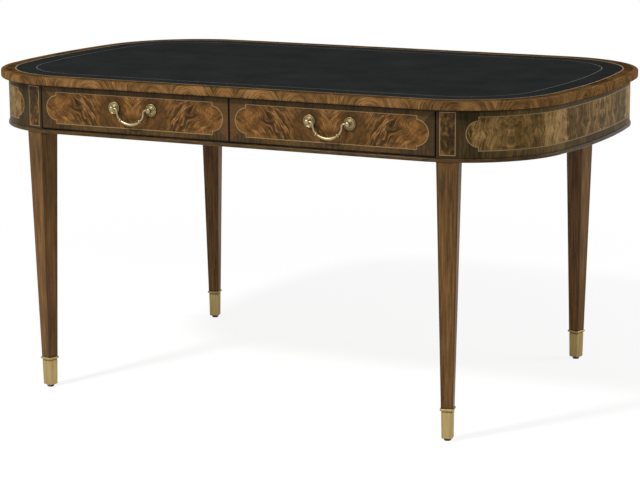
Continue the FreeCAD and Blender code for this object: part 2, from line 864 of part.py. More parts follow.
def sabot(label, place):
    body = new("PartDesign::Body", label)
    neck = f"{sabot_head} - sabot_collar_height"
    lip = f"{sabot_head} - sabot_lip_height"
    cup = tapered(body, "glide_height", "sabot_foot_side", neck, "sabot_neck_side")
    round_edges(body, cup, lambda edge: edge.Length > size.sabot_neck_side + size.overrun, "sabot_arris")
    tapered(body, neck, "sabot_neck_side", lip, "sabot_collar_side")
    pad(body, square(body, "lip", "sabot_collar_side", lip), "sabot_lip_height")
    socket = square(body, "socket", "tenon_side + 2 * tenon_clearance", sabot_head)
    pocket(body, socket, "sabot_height - sabot_floor")
    body.Placement = place
    return body


def glide(label, place):
    radius = size.glide_diameter / 2
    points = [(0, 0), (radius - size.glide_bevel, 0), (radius, size.glide_bevel), (radius, size.glide_height),
              (0, size.glide_height)]
    return turned_profile(label, points, place)


leg_panels, leg_frames, glides = [], [], []
field_width = size.leg_panel_width - 2 * size.string_width
for name, (side, end) in LEGS.items():
    place = leg_place(side, end)
    mortises = [block for (corner, _), block in tenons.items() if corner == name]
    keep(cut(f"{name}_leg", leg(f"{name}_post", place), *mortises))
    keep(sabot(f"{name}_sabot", place))
    glides.append(glide(f"{name}_glide", place))
    whole = leg_inlay(f"{name}_inlay", size.leg_panel_width, "leg_panel_height", leg_panel_foot, place)
    field = leg_inlay(f"{name}_field", field_width, "leg_panel_height - 2 * string_width",
                      f"{leg_panel_foot} + string_width", place)
    leg_frames.append(cut(f"{name}_frame", whole, field))
    leg_panels.append(field)
keep(group("glides", glides))
keep(group("leg_stringing", leg_frames))
keep(group("leg_panels", leg_panels))


# Runners, kickers, stops and corner braces

runner_start = -apron_front + size.rail_depth
runner_length = "top_depth - 2 * top_overhang - rail_depth - apron_thickness"

outer_base = box("outer_runner_base", "runner_width", runner_length, "lower_rail_thickness",
                 Vector(guide_out - size.runner_width, runner_start, apron_bottom))
outer_guide = box("outer_runner_guide", "guide_thickness", runner_length, "guide_height",
                  Vector(guide_in, runner_start, rail_top))
right_runner = keep(fuse("right_runner", [outer_base, outer_guide]))
keep(mirror("left_runner", right_runner))
centre_base = box("centre_runner_base", "centre_runner_width", runner_length, "lower_rail_thickness",
                  Vector(-size.centre_runner_width / 2, runner_start, apron_bottom))
centre_guide = box("centre_runner_guide", "divider_thickness", runner_length, "guide_height",
                   Vector(-size.divider_thickness / 2, runner_start, rail_top))
keep(fuse("centre_runner", [centre_base, centre_guide]))

kicker_length = "top_depth - 2 * top_overhang - 2 * apron_thickness - upper_rail_gap - rail_depth"
kickers = [
    box(f"kicker_{place}", width, kicker_length, "kicker_thickness", Vector(x, upper_back, kicker_bottom))
    for place, width, x in (("left", "runner_width", -guide_out),
                            ("centre", "centre_runner_width", -size.centre_runner_width / 2),
                            ("right", "runner_width", guide_out - size.runner_width))
]
keep(group("drawer_kickers", kickers))

STOP_SHARES = (0.2, 0.8)
front_back = -apron_front + size.apron_thickness
stops = []
for flip in (1, -1):
    for share in STOP_SHARES:
        middle = flip * (box_in + share * (box_out - box_in))
        corner = Vector(middle - size.stop_length / 2, front_back + size.stop_gap, rail_top)
        stops.append(box("drawer_stop", "stop_length", "stop_depth", "stop_height", corner))
keep(group("drawer_stops", stops))

brace_field = plate("brace_field", "top_overhang + apron_thickness", "kicker_thickness", kicker_bottom)
screw_holes = [
    rod("screw_hole", "screw_diameter / 2 + screw_clearance", "kicker_thickness + 2 * overrun",
        Placement(point + Vector(0, 0, kicker_bottom - size.overrun), Rotation()))
    for point in brace_screw_points()
]
all_screw_holes = fuse("screw_holes", screw_holes)
braces = []
for name, (side, end) in LEGS.items():
    place = leg_place(side, end, kicker_bottom)
    away = 0 if side * end < 0 else -size.brace_length
    corner = place.multVec(Vector(away, half_leg, 0))
    block = box(f"{name}_brace_block", "brace_length", "brace_depth", "kicker_thickness", corner)
    block.Placement = Placement(corner, place.Rotation)
    braces.append(cut(f"{name}_brace", common(f"{name}_brace_board", brace_field, block), all_screw_holes))
keep(group("corner_braces", braces))


def screw(point):
    shank = size.screw_diameter / 2
    head = size.screw_head_diameter / 2
    tip = size.kicker_thickness + size.screw_bite
    low = -size.screw_head_height
    points = [(0, low), (head, low), (head, 0), (shank, 0), (shank, tip), (0, tip)]
    return turned_profile("top_screw", points, Placement(point + Vector(0, 0, kicker_bottom), Rotation()))


keep(group("top_screws", [screw(point) for point in brace_screw_points()]))


# Right drawer; the left one is its mirror image

front_bottom = rail_top + size.drawer_gap
handle_middle = panel_middle + size.handle_rise
handle_frame = Placement(Vector(drawer_middle, -apron_front, handle_middle), Rotation(Vector(1, 0, 0), 90))


def in_handle(x, y, z, rotation=None):
    """Place in the handle's frame: X along the front, Y up, Z out of the drawer front."""
    return handle_frame.multiply(Placement(Vector(x, y, z), rotation or Rotation()))


POST_SIDES = (-1, 1)
post_spots = [side * size.handle_spacing / 2 for side in POST_SIDES]
shank_holes = [
    rod("shank_hole", "shank_diameter / 2 + shank_clearance", "apron_thickness + 2 * overrun",
        in_handle(x, 0, -size.apron_thickness - size.overrun))
    for x in post_spots
]


def drawer_front_board():
    body = new("PartDesign::Body", "right_drawer_board")
    outline = sketch_on(body, "outline")
    start = Vector(size.drawer_gap / 2, -apron_front, 0)
    tangent = Vector(corner_x, -apron_front, 0)
    end = on_apron(-half_leg - size.drawer_gap)
    back = along_leg_side(-half_leg - size.drawer_gap, front_back)
    corner = Vector(start.x, front_back, 0)
    swing = math.atan2(end.y + corner_y, end.x - corner_x)
    circle = Part.Circle(Vector(corner_x, -corner_y, 0), Vector(0, 0, 1), apron_radius)
    outline.addGeometry([
        Part.LineSegment(start, tangent),
        Part.ArcOfCircle(circle, -math.pi / 2, swing),
        Part.LineSegment(end, back),
        Part.LineSegment(back, corner),
        Part.LineSegment(corner, start),
    ])
    join_ends(outline, 5)
    pad(body, outline, "apron_height - lower_rail_thickness - 2 * drawer_gap")
    body.Placement = raised(front_bottom)
    return body


groove_low = bottom_panel - size.groove_clearance
groove_height = "drawer_bottom_thickness + 2 * groove_clearance"
bottom_left = box_in + size.drawer_side_thickness - size.groove_depth
bottom_width = "box_width - 2 * drawer_side_thickness + 2 * groove_depth"
groove = box("bottom_groove", bottom_width, "drawer_depth + groove_depth + overrun", groove_height,
             Vector(bottom_left, front_back - size.groove_depth, groove_low))


# Dovetails: lapped tails of the sides in the front, and through tails of the sides in the back

FRONT_TAIL_SHARES = ((0.06, 0.3), (0.38, 0.62), (0.7, 0.94))
BACK_TAIL_SHARES = ((0.14, 0.42), (0.58, 0.86))


def tails(label, shares, low, high, root, tip, x):
    """Comb of dovetails, wider at the tips, on a strip at the comb's rear."""
    edge = max(root, tip)
    corners = [Vector(edge + size.tail_strip, low, 0), Vector(edge, low, 0)]
    for first, last in shares:
        bottom, top = low + first * (high - low), low + last * (high - low)
        narrow = [Vector(root, bottom + size.tail_slope, 0), Vector(root, top - size.tail_slope, 0)]
        wide = [Vector(tip, bottom, 0), Vector(tip, top, 0)]
        corners += [narrow[0], *wide, narrow[1]] if root > tip else [wide[0], *narrow, wide[1]]
    corners += [Vector(edge, high, 0), Vector(edge + size.tail_strip, high, 0)]
    body = new("PartDesign::Body", label)
    pad(body, polygon(body, "comb", corners, "YZ_Plane"), "drawer_side_thickness")
    body.Placement = Placement(Vector(x, 0, 0), Rotation())
    return body


side_places = {"inner": box_in, "outer": box_out - size.drawer_side_thickness}
back_low = bottom_panel + size.drawer_bottom_thickness + size.groove_clearance
back_high = side_top - size.drawer_back_drop
rear = front_back + size.drawer_depth
front_tails = {
    name: tails(f"{name}_front_tails", FRONT_TAIL_SHARES, side_bottom, side_top, front_back,
                front_back - size.tail_length, x)
    for name, x in side_places.items()
}
back_tails = [
    tails(f"{name}_back_tails", BACK_TAIL_SHARES, back_low, back_high,
          rear - size.drawer_back_thickness, rear, x)
    for name, x in side_places.items()
]

back_height = ("drawer_side_height - drawer_bottom_rise - drawer_bottom_thickness"
               " - groove_clearance - drawer_back_drop")

front_panel = straight_panel("right_drawer", drawer_middle, -1)
drawer_back = cut(
    "right_drawer_back",
    box("drawer_back_board", "box_width", "drawer_back_thickness", back_height,
        Vector(box_in, rear - size.drawer_back_thickness, back_low)),
    *back_tails)


def drawer_side(name):
    board = box(f"{name}_side_board", "drawer_side_thickness", "drawer_depth", "drawer_side_height",
                Vector(side_places[name], front_back, side_bottom))
    return cut(f"right_drawer_{name}_side", fuse(f"{name}_side_tailed", [board, front_tails[name]]), groove,
               drawer_back)


right_drawer = [
    cut("right_drawer_front", drawer_front_board(), front_panel[0], groove, *shank_holes,
        *front_tails.values()),
    front_panel[1],
    cut("right_drawer_panel", front_panel[2], *shank_holes),
    drawer_side("inner"),
    drawer_side("outer"),
    drawer_back,
    box("right_drawer_bottom", f"{bottom_width} - 2 * groove_clearance",
        "drawer_depth + groove_depth - groove_clearance", "drawer_bottom_thickness",
        Vector(bottom_left + size.groove_clearance, front_back - size.groove_depth + size.groove_clearance,
               bottom_panel)),
]


# Handle: a swan-neck bail that hangs from two posts, each on a stepped rosette

shank = size.shank_diameter / 2
shank_hole = shank + size.shank_clearance
rosette_radius = size.rosette_diameter / 2
ROSETTE_SHARES = ((1, 0), (1, 0.3), (0.9, 0.55), (0.78, 0.6), (0.74, 0.85), (0.5, 0.75), (0.42, 1))
POST_SHARES = ((1, 0), (1, 0.07), (0.66, 0.18), (0.66, 0.3), (0.94, 0.46), (1, 0.6), (1, 0.74), (0.93, 0.85),
               (0.75, 0.93), (0.45, 0.985), (0, 1))


def rosette(x):
    points = [(radius * rosette_radius, height * size.rosette_thickness) for radius, height in ROSETTE_SHARES]
    points += [(shank_hole, size.rosette_thickness), (shank_hole, 0)]
    return turned_profile("rosette", points, in_handle(x, 0, 0))


def post(x, side):
    radius = size.post_diameter / 2
    stem = size.post_projection - size.rosette_thickness
    tail = -size.apron_thickness - size.nut_thickness - size.shank_tail
    points = [(0, tail), (shank, tail), (shank, size.rosette_thickness)]
    points += [(r * radius, size.rosette_thickness + z * stem) for r, z in POST_SHARES]
    turned = turned_profile("post_turning", points, in_handle(x, 0, 0))
    start = in_handle(side * post_side, 0, size.pivot_projection, Rotation(Vector(0, 1, 0), side * 90))
    bore = rod("post_bore", "pin_diameter / 2 + pin_clearance", "pin_depth + pin_clearance", start)
    return cut("handle_post", turned, bore)


def nut(x):
    hexagon = new("Part::Prism", "nut_blank")
    hexagon.Polygon = 6
    bind(hexagon, {"Circumradius": "nut_diameter / 2", "Height": "nut_thickness"})
    low = -size.apron_thickness - size.nut_thickness
    hexagon.Placement = in_handle(x, 0, low)
    bore = rod("nut_bore", "shank_diameter / 2 + shank_clearance", "nut_thickness + 2 * overrun",
               in_handle(x, 0, low - size.overrun))
    return cut("handle_nut", hexagon, bore)


def bend(label, ring, thickness, angle, centre, start):
    """Round bar bent on a circle in the bail's plane, from a start angle through an angle."""
    made = new("Part::Torus", label)
    bind(made, {"Radius1": ring, "Radius2": f"({thickness}) / 2", "Angle3": angle})
    made.Placement = in_handle(centre.x, centre.y, size.pivot_projection, Rotation(Vector(0, 0, 1), start))
    return made


def bail():
    """Round grip between two collars, sides that rise from them and necks that turn out to the posts."""
    bars = [bend("grip", "bail_bottom_radius", "bail_grip_diameter", "2 * bail_bend_angle", grip_centre,
                 -90 - size.bail_bend_angle)]
    for side in POST_SIDES:
        flat = Rotation(Vector(0, 1, 0), side * 90)
        side_start = size.bail_bend_angle - 90 if side > 0 else 180
        bars += [
            bend("bail_side", "bail_side_radius", "bail_neck_diameter", "90 - bail_bend_angle",
                 Vector(side * side_centre.x, side_centre.y, 0), side_start),
            bend("bail_neck", "bail_neck_radius", "bail_neck_diameter", "90",
                 Vector(side * neck_centre.x, neck_centre.y, 0), 90 if side > 0 else 0),
            rod("bail_shoulder", "bail_neck_diameter / 2", "bail_shoulder_length",
                in_handle(side * neck_centre.x, 0, size.pivot_projection, flat)),
            rod("bail_pin", "pin_diameter / 2", "pin_depth + bail_shoulder_gap - pin_clearance",
                in_handle(side * shoulder_end, 0, size.pivot_projection, flat)),
        ]
        along = Vector(side * math.cos(lean), math.sin(lean), 0)
        start = Vector(side * collar_spot.x, collar_spot.y, 0) - along * (size.collar_width / 2)
        bars.append(rod("bail_collar", "collar_diameter / 2", "collar_width",
                        in_handle(start.x, start.y, size.pivot_projection, Rotation(Vector(0, 0, 1), along))))
    return fuse("right_bail", bars)


right_drawer += [
    group("right_rosettes", [rosette(x) for x in post_spots]),
    group("right_posts", [post(x, side) for x, side in zip(post_spots, POST_SIDES)]),
    group("right_nuts", [nut(x) for x in post_spots]),
    bail(),
]
doc.recompute()
keep(*right_drawer)
keep(*[mirror(piece.Label.replace("right", "left"), piece) for piece in right_drawer])


# Check every object, then write each node

doc.recompute()
for thing in doc.Objects:
    if "Invalid" in thing.State or "Error" in thing.State:
        raise RuntimeError(f"{thing.Label} did not build: {thing.State}")
for node in nodes:
    if node.Shape.isNull() or not node.Shape.isValid() or not node.Shape.Solids:
        raise RuntimeError(f"{node.Label} has no valid solid")
os.makedirs("parts", exist_ok=True)
for node in nodes:
    node.Shape.exportStep(f"parts/{node.Label}.step")
print(len(nodes), "nodes,", sum(len(node.Shape.Solids) for node in nodes), "solids")
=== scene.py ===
import math

import bpy
import numpy as np
from bpy.props import FloatProperty, FloatVectorProperty, PointerProperty
from mathutils import Matrix, Vector


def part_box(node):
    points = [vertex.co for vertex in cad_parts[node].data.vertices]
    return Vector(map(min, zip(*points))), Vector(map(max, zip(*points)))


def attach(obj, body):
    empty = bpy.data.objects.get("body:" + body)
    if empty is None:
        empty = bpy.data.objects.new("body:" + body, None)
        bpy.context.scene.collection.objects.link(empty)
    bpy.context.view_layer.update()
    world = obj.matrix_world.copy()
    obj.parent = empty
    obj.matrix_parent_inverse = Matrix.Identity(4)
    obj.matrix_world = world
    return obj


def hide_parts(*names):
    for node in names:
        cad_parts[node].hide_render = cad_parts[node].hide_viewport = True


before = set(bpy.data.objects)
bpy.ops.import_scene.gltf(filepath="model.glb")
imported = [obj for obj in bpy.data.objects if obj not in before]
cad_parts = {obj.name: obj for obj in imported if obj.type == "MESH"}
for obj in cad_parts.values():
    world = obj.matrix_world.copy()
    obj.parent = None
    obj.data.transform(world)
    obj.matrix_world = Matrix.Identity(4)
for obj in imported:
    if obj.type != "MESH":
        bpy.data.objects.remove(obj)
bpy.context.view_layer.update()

bl_info = {
    "name": "Writing table finishes",
    "version": (1, 0, 0),
    "blender": (4, 5, 0),
    "location": "View3D > Sidebar > Table",
    "description": "Veneers, leather, brass and a studio stage for a writing table",
    "category": "Object",
}

MM = 0.001
SIDES = ("left", "right")
CORNERS = tuple(f"{end}_{side}" for end in ("front", "back") for side in SIDES)

# Millimetres from a drawer's middle, lightness of the burl and strengths of its streaks and mottle: a
# flame in the middle, a quiet dark cloud beside it, partly the handles' shadow painted in, feathered
# fibres, and pale mottled ends
DRAWER_LEAVES = (
    (0, 0.41, 0.8, 0.5), (24, 0.4, 0.8, 0.5), (44, 0.3, 0.3, 0.5), (84, 0.27, 0.3, 0.5),
    (98, 0.3, 1.1, 0.5), (116, 0.25, 1.2, 0.6), (152, 0.26, 1.2, 0.6), (172, 0.38, 0.5, 0.9),
    (205, 0.42, 0.25, 1.0), (241, 0.4, 0.25, 1.0),
)
# Lightness and strengths of streaks and mottle of each leaf of an end's burl, from the middle outwards;
# the lightness is partly each leaf's own tone and partly painted sheen, which flips from leaf to leaf
END_LEAVES = (
    (0.45, 0.9, 0.9), (0.36, 0.6, 0.8), (0.68, 0.7, 1.0),
    (0.45, 0.4, 0.9), (0.51, 0.55, 0.9), (0.25, 0.5, 0.8),
)
# Millimetres from an end's middle, and how much lighter the ends' ground is painted than at a corner:
# painted light along each end, which falls to painted shade at the corners
ENDS_GROUND_PAINTED_LIGHT = ((0, 1.3), (60, 1.7), (160, 1.7), (240, 2.5), (360, 2.6), (420, 1.7), (480, 1.0))
# How far into the burl the drawers' leaves were sliced
FLITCH = 170 * MM

# Profile of a rosette from its edge inwards, as shares of its radius and of its thickness
ROSETTE_REACH = np.array([
    1, 1, 0.985, 0.95, 0.9, 0.86, 0.82, 0.78, 0.72, 0.66, 0.6, 0.54, 0.48, 0.44, 0.4, 0.36,
])
ROSETTE_RISE = np.array([
    0, 0.3, 0.55, 0.72, 0.74, 0.64, 0.42, 0.33, 0.34, 0.42, 0.5, 0.54, 0.58, 0.75, 0.95, 1,
])

# Name, place and diameter in metres, and watts of each lamp
LAMPS = (
    ("key", (-1.6, -3.9, 4.3), 0.7, 318),
    ("front", (1.2, -4.6, 2.4), 2.4, 14),
    ("fill", (3.6, 1.8, 2.0), 2.4, 80),
)


def linear(code):
    """Linear red, green and blue of an sRGB hex colour."""
    parts = np.array([int(code[i:i + 2], 16) for i in (1, 3, 5)]) / 255
    return tuple(np.where(parts <= 0.04045, parts / 12.92, ((parts + 0.055) / 1.055) ** 2.4))


def colour(name, code, description):
    """Property for a colour, given as sRGB hex."""
    return FloatVectorProperty(name=name, description=description, subtype="COLOR", size=3, min=0, max=1,
                               default=linear(code))


def length(name, millimetres, description):
    """Property for a length, given in millimetres."""
    return FloatProperty(name=name, description=description, unit="LENGTH", subtype="DISTANCE", min=0,
                         precision=4, default=millimetres * MM)


def angle(name, degrees, description):
    """Property for an angle, given in degrees."""
    return FloatProperty(name=name, description=description, subtype="ANGLE", default=math.radians(degrees))


class TableSizes(bpy.types.PropertyGroup):
    corner_radius: length("Corner radius", 267, "Radius of the top's corners at the rim")
    end_radius: length("End radius", 1600, "Radius of the top's bowed ends at the rim")
    line_inset: length("Tooled line", 87, "Distance of the tooled line from the rim")
    line_width: length("Line width", 1.6, "Width of the tooled line")
    leaf_width: length("Veneer leaf", 97, "Width of a leaf of burl on the bowed ends")
    lean: angle("Figure's lean", -42, "Lean of the drawers' figure, which is outwards below 0")
    leg_angle: angle("Leg angle", 15, "How far each leg is turned towards its corner")
    leg_head: length("Leg head", 50, "Side of a leg under the apron")
    leg_foot: length("Leg foot", 27.5, "Side of a leg above its sabot")
    sabot_foot: length("Sabot foot", 25, "Side of a sabot at its foot")
    sabot_neck: length("Sabot neck", 27, "Side of a sabot under its collar")
    sabot_collar: length("Sabot collar", 33, "Side of a sabot's collar")
    handle_spacing: length("Handle spacing", 101, "Distance between the two posts of a handle")
    bail_drop: length("Bail drop", 35.5, "How far a bail hangs below its pivots")
    bail_bend: angle("Bail bend", 39.6, "Half the angle of the bail's lower bend")
    bail_bottom: length("Bail bottom", 42, "Radius of the bail's lower bend")
    bail_side: length("Bail side", 25.4, "Radius of the bail's side bends")
    bail_grip: length("Bail grip", 3.7, "Radius of the bail at the middle of its grip")
    bail_neck: length("Bail neck", 2.6, "Radius of the bail at its necks")
    bail_collar: length("Bail collar", 5.8, "Radius of the bail's collars")
    rosette: length("Rosette", 14.75, "Radius of a rosette")


class TableColours(bpy.types.PropertyGroup):
    burl_dark: colour("Burl dark", "#221705", "Darkest figure of the burl")
    burl_brown: colour("Burl brown", "#4e3313", "Main brown of the burl")
    burl_tan: colour("Burl tan", "#6f4b24", "Light figure of the burl")
    burl_pale: colour("Burl pale", "#8f6c40", "Palest eyes of the burl")
    # The ends' burl is the drawers' burl greener: the green cast of the light on the ends, painted in
    end_dark: colour("End burl dark", "#241a0b", "Darkest figure of the ends' burl")
    end_brown: colour("End burl brown", "#47371c", "Main brown of the ends' burl")
    end_tan: colour("End burl tan", "#69502d", "Light figure of the ends' burl")
    end_pale: colour("End burl pale", "#90754d", "Palest eyes of the ends' burl")
    panel_dark: colour("Leg panel dark", "#140e06", "Dark figure of the legs' panels")
    panel_brown: colour("Leg panel brown", "#35250f", "Brown of the legs' panels")
    edge_dark: colour("Edge dark", "#30200f", "Darkest figure of the top's edge")
    edge_brown: colour("Edge brown", "#5d4427", "Main brown of the top's edge")
    edge_tan: colour("Edge tan", "#84603a", "Light figure of the top's edge")
    # The border's colours are the edge's, darker: painted shade on the top's face, which the lamps light
    # from above
    shaded_border_dark: colour("Border dark", "#1f150a", "Dark figure of the top's border")
    shaded_border_brown: colour("Border brown", "#614728", "Brown of the top's border")
    ground_dark: colour("Ground dark", "#261b0b", "Dark streaks of the ground veneer")
    ground_brown: colour("Ground brown", "#4f391c", "Brown of the ground veneer")
    ground_red: colour("Ground red", "#4d341c", "Ground at the drawers' inner ends")
    # The ends' ground is greener: the green cast of the light on the ends, painted in
    olive_dark: colour("Olive ground dark", "#1e180a", "Dark streaks of the ends' ground")
    olive_brown: colour("Olive ground brown", "#41341f", "Olive brown of the ends' ground")
    leg_dark: colour("Leg dark", "#362511", "Dark streaks of the legs")
    leg_brown: colour("Leg brown", "#715029", "Brown of the legs")
    boxwood: colour("Boxwood", "#806b48", "Pale stringing")
    leather: colour("Leather", "#161717", "Black leather")
    leather_worn: colour("Leather worn", "#202121", "Leather that catches the light")
    tooling: colour("Tooling", "#31322f", "Tooled line on the leather")
    brass: colour("Brass", "#a28f60", "Clean brass")
    brass_dark: colour("Brass dark", "#7c693e", "Brass that has darkened")
    brass_patina_and_shade: colour("Brass brown", "#2a210d", "Brass in hollows")
    antique: colour("Antique brass", "#998a69", "Handles where hands rub them")
    antique_dark: colour("Antique brass dark", "#625430", "Handles that have darkened")
    antique_patina_and_shade: colour("Antique brass brown", "#1d1607", "Hollows of the handles")
    oak: colour("Oak", "#c4a274", "Drawer linings")
    oak_dark: colour("Oak dark", "#9c7846", "Dark grain of the drawer linings")
    carcase: colour("Carcase", "#a5845a", "Plain wood inside the apron")
    carcase_dark: colour("Carcase dark", "#7f6040", "Dark grain of the plain wood")
    steel: colour("Steel", "#8f8f8c", "Screws and nuts")
    glide: colour("Glide", "#1b1a18", "Dark plastic of the glides")
    floor: colour("Floor", "#ffffff", "Plain pale floor")


def table_sizes():
    """Sizes, as the user has set them."""
    return bpy.context.scene.table_sizes


def tones(*names):
    """Colours with these names, as the user has set them."""
    return [tuple(getattr(bpy.context.scene.table_colours, name)) for name in names]


# Nodes of the frame and their places

def both(*parts):
    """Names of these parts' left and right nodes."""
    return [f"{side}_{part}" for part in parts for side in SIDES]


def middle_of(node):
    """Middle of a node's box."""
    low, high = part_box(node)
    return (low + high) / 2


def leg_spots():
    """Middle line of each leg on the floor."""
    return {corner: middle_of(f"{corner}_sabot") for corner in CORNERS}


def handle_spot(side):
    """Middle of a handle at its pivots' height, on the drawer's face."""
    spot = middle_of(f"{side}_rosettes")
    spot.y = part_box(f"{side}_rosettes")[1].y
    return spot


def corner_centre():
    """Centre of the plan's back right corner, and the x that its right end is bowed about."""
    sizes = table_sizes()
    half_length, half_depth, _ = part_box("top_lipping")[1]
    bow_x = half_length - sizes.end_radius
    y = half_depth - sizes.corner_radius
    x = bow_x + math.sqrt((sizes.end_radius - sizes.corner_radius) ** 2 - y ** 2)
    return x, y, bow_x


# Meshes

def placed(name, data):
    """New object in the scene."""
    made = bpy.data.objects.new(name, data)
    bpy.context.scene.collection.objects.link(made)
    return made


def surface(name, grid, ring=False):
    """Closed surface through a grid of points: columns run round, rows run along.

    Row i and column j make the quad (i, j), (i, j+1), (i+1, j+1), (i+1, j). Rows close into a ring,
    or the first and last row are closed with a flat face.
    """
    rows, columns, _ = grid.shape
    i = np.arange(rows if ring else rows - 1)[:, None]
    j = np.arange(columns)[None, :]
    here, there = i * columns, (i + 1) % rows * columns
    after = (j + 1) % columns
    quads = np.stack([here + j, here + after, there + after, there + j], axis=-1)
    faces = quads.reshape(-1, 4).tolist()
    if not ring:
        faces.append(list(range(columns))[::-1])
        faces.append(list(range((rows - 1) * columns, rows * columns)))
    mesh = bpy.data.meshes.new(name)
    mesh.from_pydata(grid.reshape(-1, 3).tolist(), [], faces)
    mesh.polygons.foreach_set("use_smooth", np.ones(len(faces), dtype=bool))
    mesh.update()
    return placed(name, mesh)


def carried(path, across, wide, high, columns, ring=False):
    """Tube round a path: p and an angle a give p + wide sin a * (along x across) + high cos a * across."""
    if ring:
        along = np.roll(path, -1, axis=0) - np.roll(path, 1, axis=0)
    else:
        along = np.gradient(path, axis=0)
    along /= np.linalg.norm(along, axis=1, keepdims=True)
    other = np.cross(along, across)
    turn = np.linspace(0, 2 * np.pi, columns, endpoint=False)[None, :, None]
    wide, high = (np.broadcast_to(reach, len(path))[:, None, None] for reach in (wide, high))
    return path[:, None, :] + wide * np.sin(turn) * other[:, None, :] + high * np.cos(turn) * across


def joined(*pieces):
    """One object made of several, with the name of the first."""
    with bpy.context.temp_override(active_object=pieces[0], selected_editable_objects=list(pieces)):
        bpy.ops.object.join()
    return pieces[0]


def outline(inset, steps):
    """Plan of the top drawn in by inset: straight front and back, round corners and bowed ends.

    A corner runs on a circle of corner_radius - inset about its centre, an end on one of
    end_radius - inset about the middle line, and the two meet where both centres are in line.
    """
    sizes = table_sizes()
    corner_x, corner_y, bow_x = corner_centre()
    swing = math.atan2(corner_y, corner_x - bow_x)
    end = np.linspace(0, swing, steps)
    corner = np.linspace(swing, np.pi / 2, steps)[1:]
    straight = np.linspace(corner_x, 0, steps)[1:]
    bow, bend = sizes.end_radius - inset, sizes.corner_radius - inset
    x = np.concatenate([bow_x + bow * np.cos(end), corner_x + bend * np.cos(corner), straight])
    y = np.concatenate([bow * np.sin(end), corner_y + bend * np.sin(corner),
                        np.full_like(straight, corner_y + bend)])
    x = np.concatenate([x, -x[-2::-1]])
    y = np.concatenate([y, y[-2::-1]])
    return np.concatenate([np.stack([x, y], 1), np.stack([-x, -y], 1)[1:-1]])


def tooled_line():
    """Flattened tube carried round the top's outline, drawn in, on the leather's face."""
    sizes = table_sizes()
    plan = outline(sizes.line_inset, steps=40)
    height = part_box("leather_inset")[1].z
    path = np.column_stack([plan, np.full(len(plan), height)])
    upwards = np.array([0.0, 0.0, 1.0])
    wide, high = sizes.line_width / 2, sizes.line_width / 10
    return surface("tooled_line", carried(path, upwards, wide, high, columns=8, ring=True), ring=True)


# Nodes and places in a pattern

def per_metre(*millimetres):
    """Scale at which a pattern's cell is this long: a number, or three for the three axes."""
    scales = tuple(1 / (size * MM) for size in millimetres)
    return scales if len(scales) > 1 else scales[0]


def add(tree, kind, inputs=None, stops=(), **settings):
    """Add a node with its settings, ramp's stops, and inputs, linked or set, and give its outputs."""
    made = tree.nodes.new("ShaderNode" + kind)
    for name, value in settings.items():
        setattr(made, name, value)
    for index, (place, tint) in enumerate(stops):
        elements = made.color_ramp.elements
        element = elements[index] if index < 2 else elements.new(place)
        element.position = place
        element.color = (*tint, 1)
    for name, value in (inputs or {}).items():
        if isinstance(value, bpy.types.NodeSocket):
            tree.links.new(value, made.inputs[name])
        else:
            made.inputs[name].default_value = value
    return made.outputs


def blank(name):
    """New material and its empty tree."""
    material = bpy.data.materials.new(name)
    material.use_nodes = True
    material.node_tree.nodes.clear()
    return material, material.node_tree


def surfaced(tree, tint, relief, depth, inputs):
    """Shader of a surface with a tint, a relief of some depth in millimetres, and other inputs."""
    normal = add(tree, "Bump", {"Height": relief, "Distance": depth * MM})[0]
    shader = add(tree, "BsdfPrincipled", {"Base Color": tint, "Normal": normal, **inputs})[0]
    add(tree, "OutputMaterial", {"Surface": shader})


def lacquer(roughness=0.4, level=0.1):
    """Clear lacquer over wood: its IOR, with the gloss rubbed down to a satin."""
    return {"Roughness": roughness, "IOR": 1.5, "Specular IOR Level": level}


def as_placed(tree):
    """Object coordinates."""
    return add(tree, "TexCoord")["Object"]


def pulled_about(tree, spot, clouds, reach):
    """The clouds' pull, their colour less its middle, and the place plus reach times that pull."""
    middle = (0.5, 0.5, 0.5)
    pull = add(tree, "VectorMath", {0: clouds["Color"], 1: middle}, operation="SUBTRACT")[0]
    bent = add(tree, "VectorMath", {0: pull, 1: (reach,) * 3, 2: spot}, operation="MULTIPLY_ADD")[0]
    return pull, bent


def round_the_rim(tree):
    """Place on the table's outline: distance along it from the middle of an end, distance outwards, height.

    With p the place without its signs and c the corner's centre, d = max(p - c, 0) points outwards. Then
    along = min(p_y, c_y) + R atan2(d_y, d_x) + c_x - min(p_x, c_x), and out = |d|.
    """
    x, y, _ = corner_centre()
    radius = table_sizes().corner_radius
    place = add(tree, "VectorMath", {0: as_placed(tree)}, operation="ABSOLUTE")[0]
    beyond = add(tree, "VectorMath", {0: place, 1: (x, y, 0)}, operation="SUBTRACT")[0]
    beyond = add(tree, "VectorMath", {0: beyond, 1: (0, 0, 0)}, operation="MAXIMUM")[0]
    within = add(tree, "VectorMath", {0: place, 1: (x, y, 0)}, operation="MINIMUM")[0]
    beyond_x, beyond_y, height = add(tree, "SeparateXYZ", {0: beyond})
    within_x, within_y, _ = add(tree, "SeparateXYZ", {0: within})
    turn = add(tree, "Math", {0: beyond_y, 1: beyond_x}, operation="ARCTAN2")[0]
    bend = add(tree, "Math", {0: turn, 1: radius, 2: within_y}, operation="MULTIPLY_ADD")[0]
    side = add(tree, "Math", {0: x, 1: within_x}, operation="SUBTRACT")[0]
    along = add(tree, "Math", {0: bend, 1: side}, operation="ADD")[0]
    flat = add(tree, "CombineXYZ", {0: beyond_x, 1: beyond_y})[0]
    out = add(tree, "VectorMath", {0: flat}, operation="LENGTH")["Value"]
    return add(tree, "CombineXYZ", {0: along, 1: out, 2: height})[0]


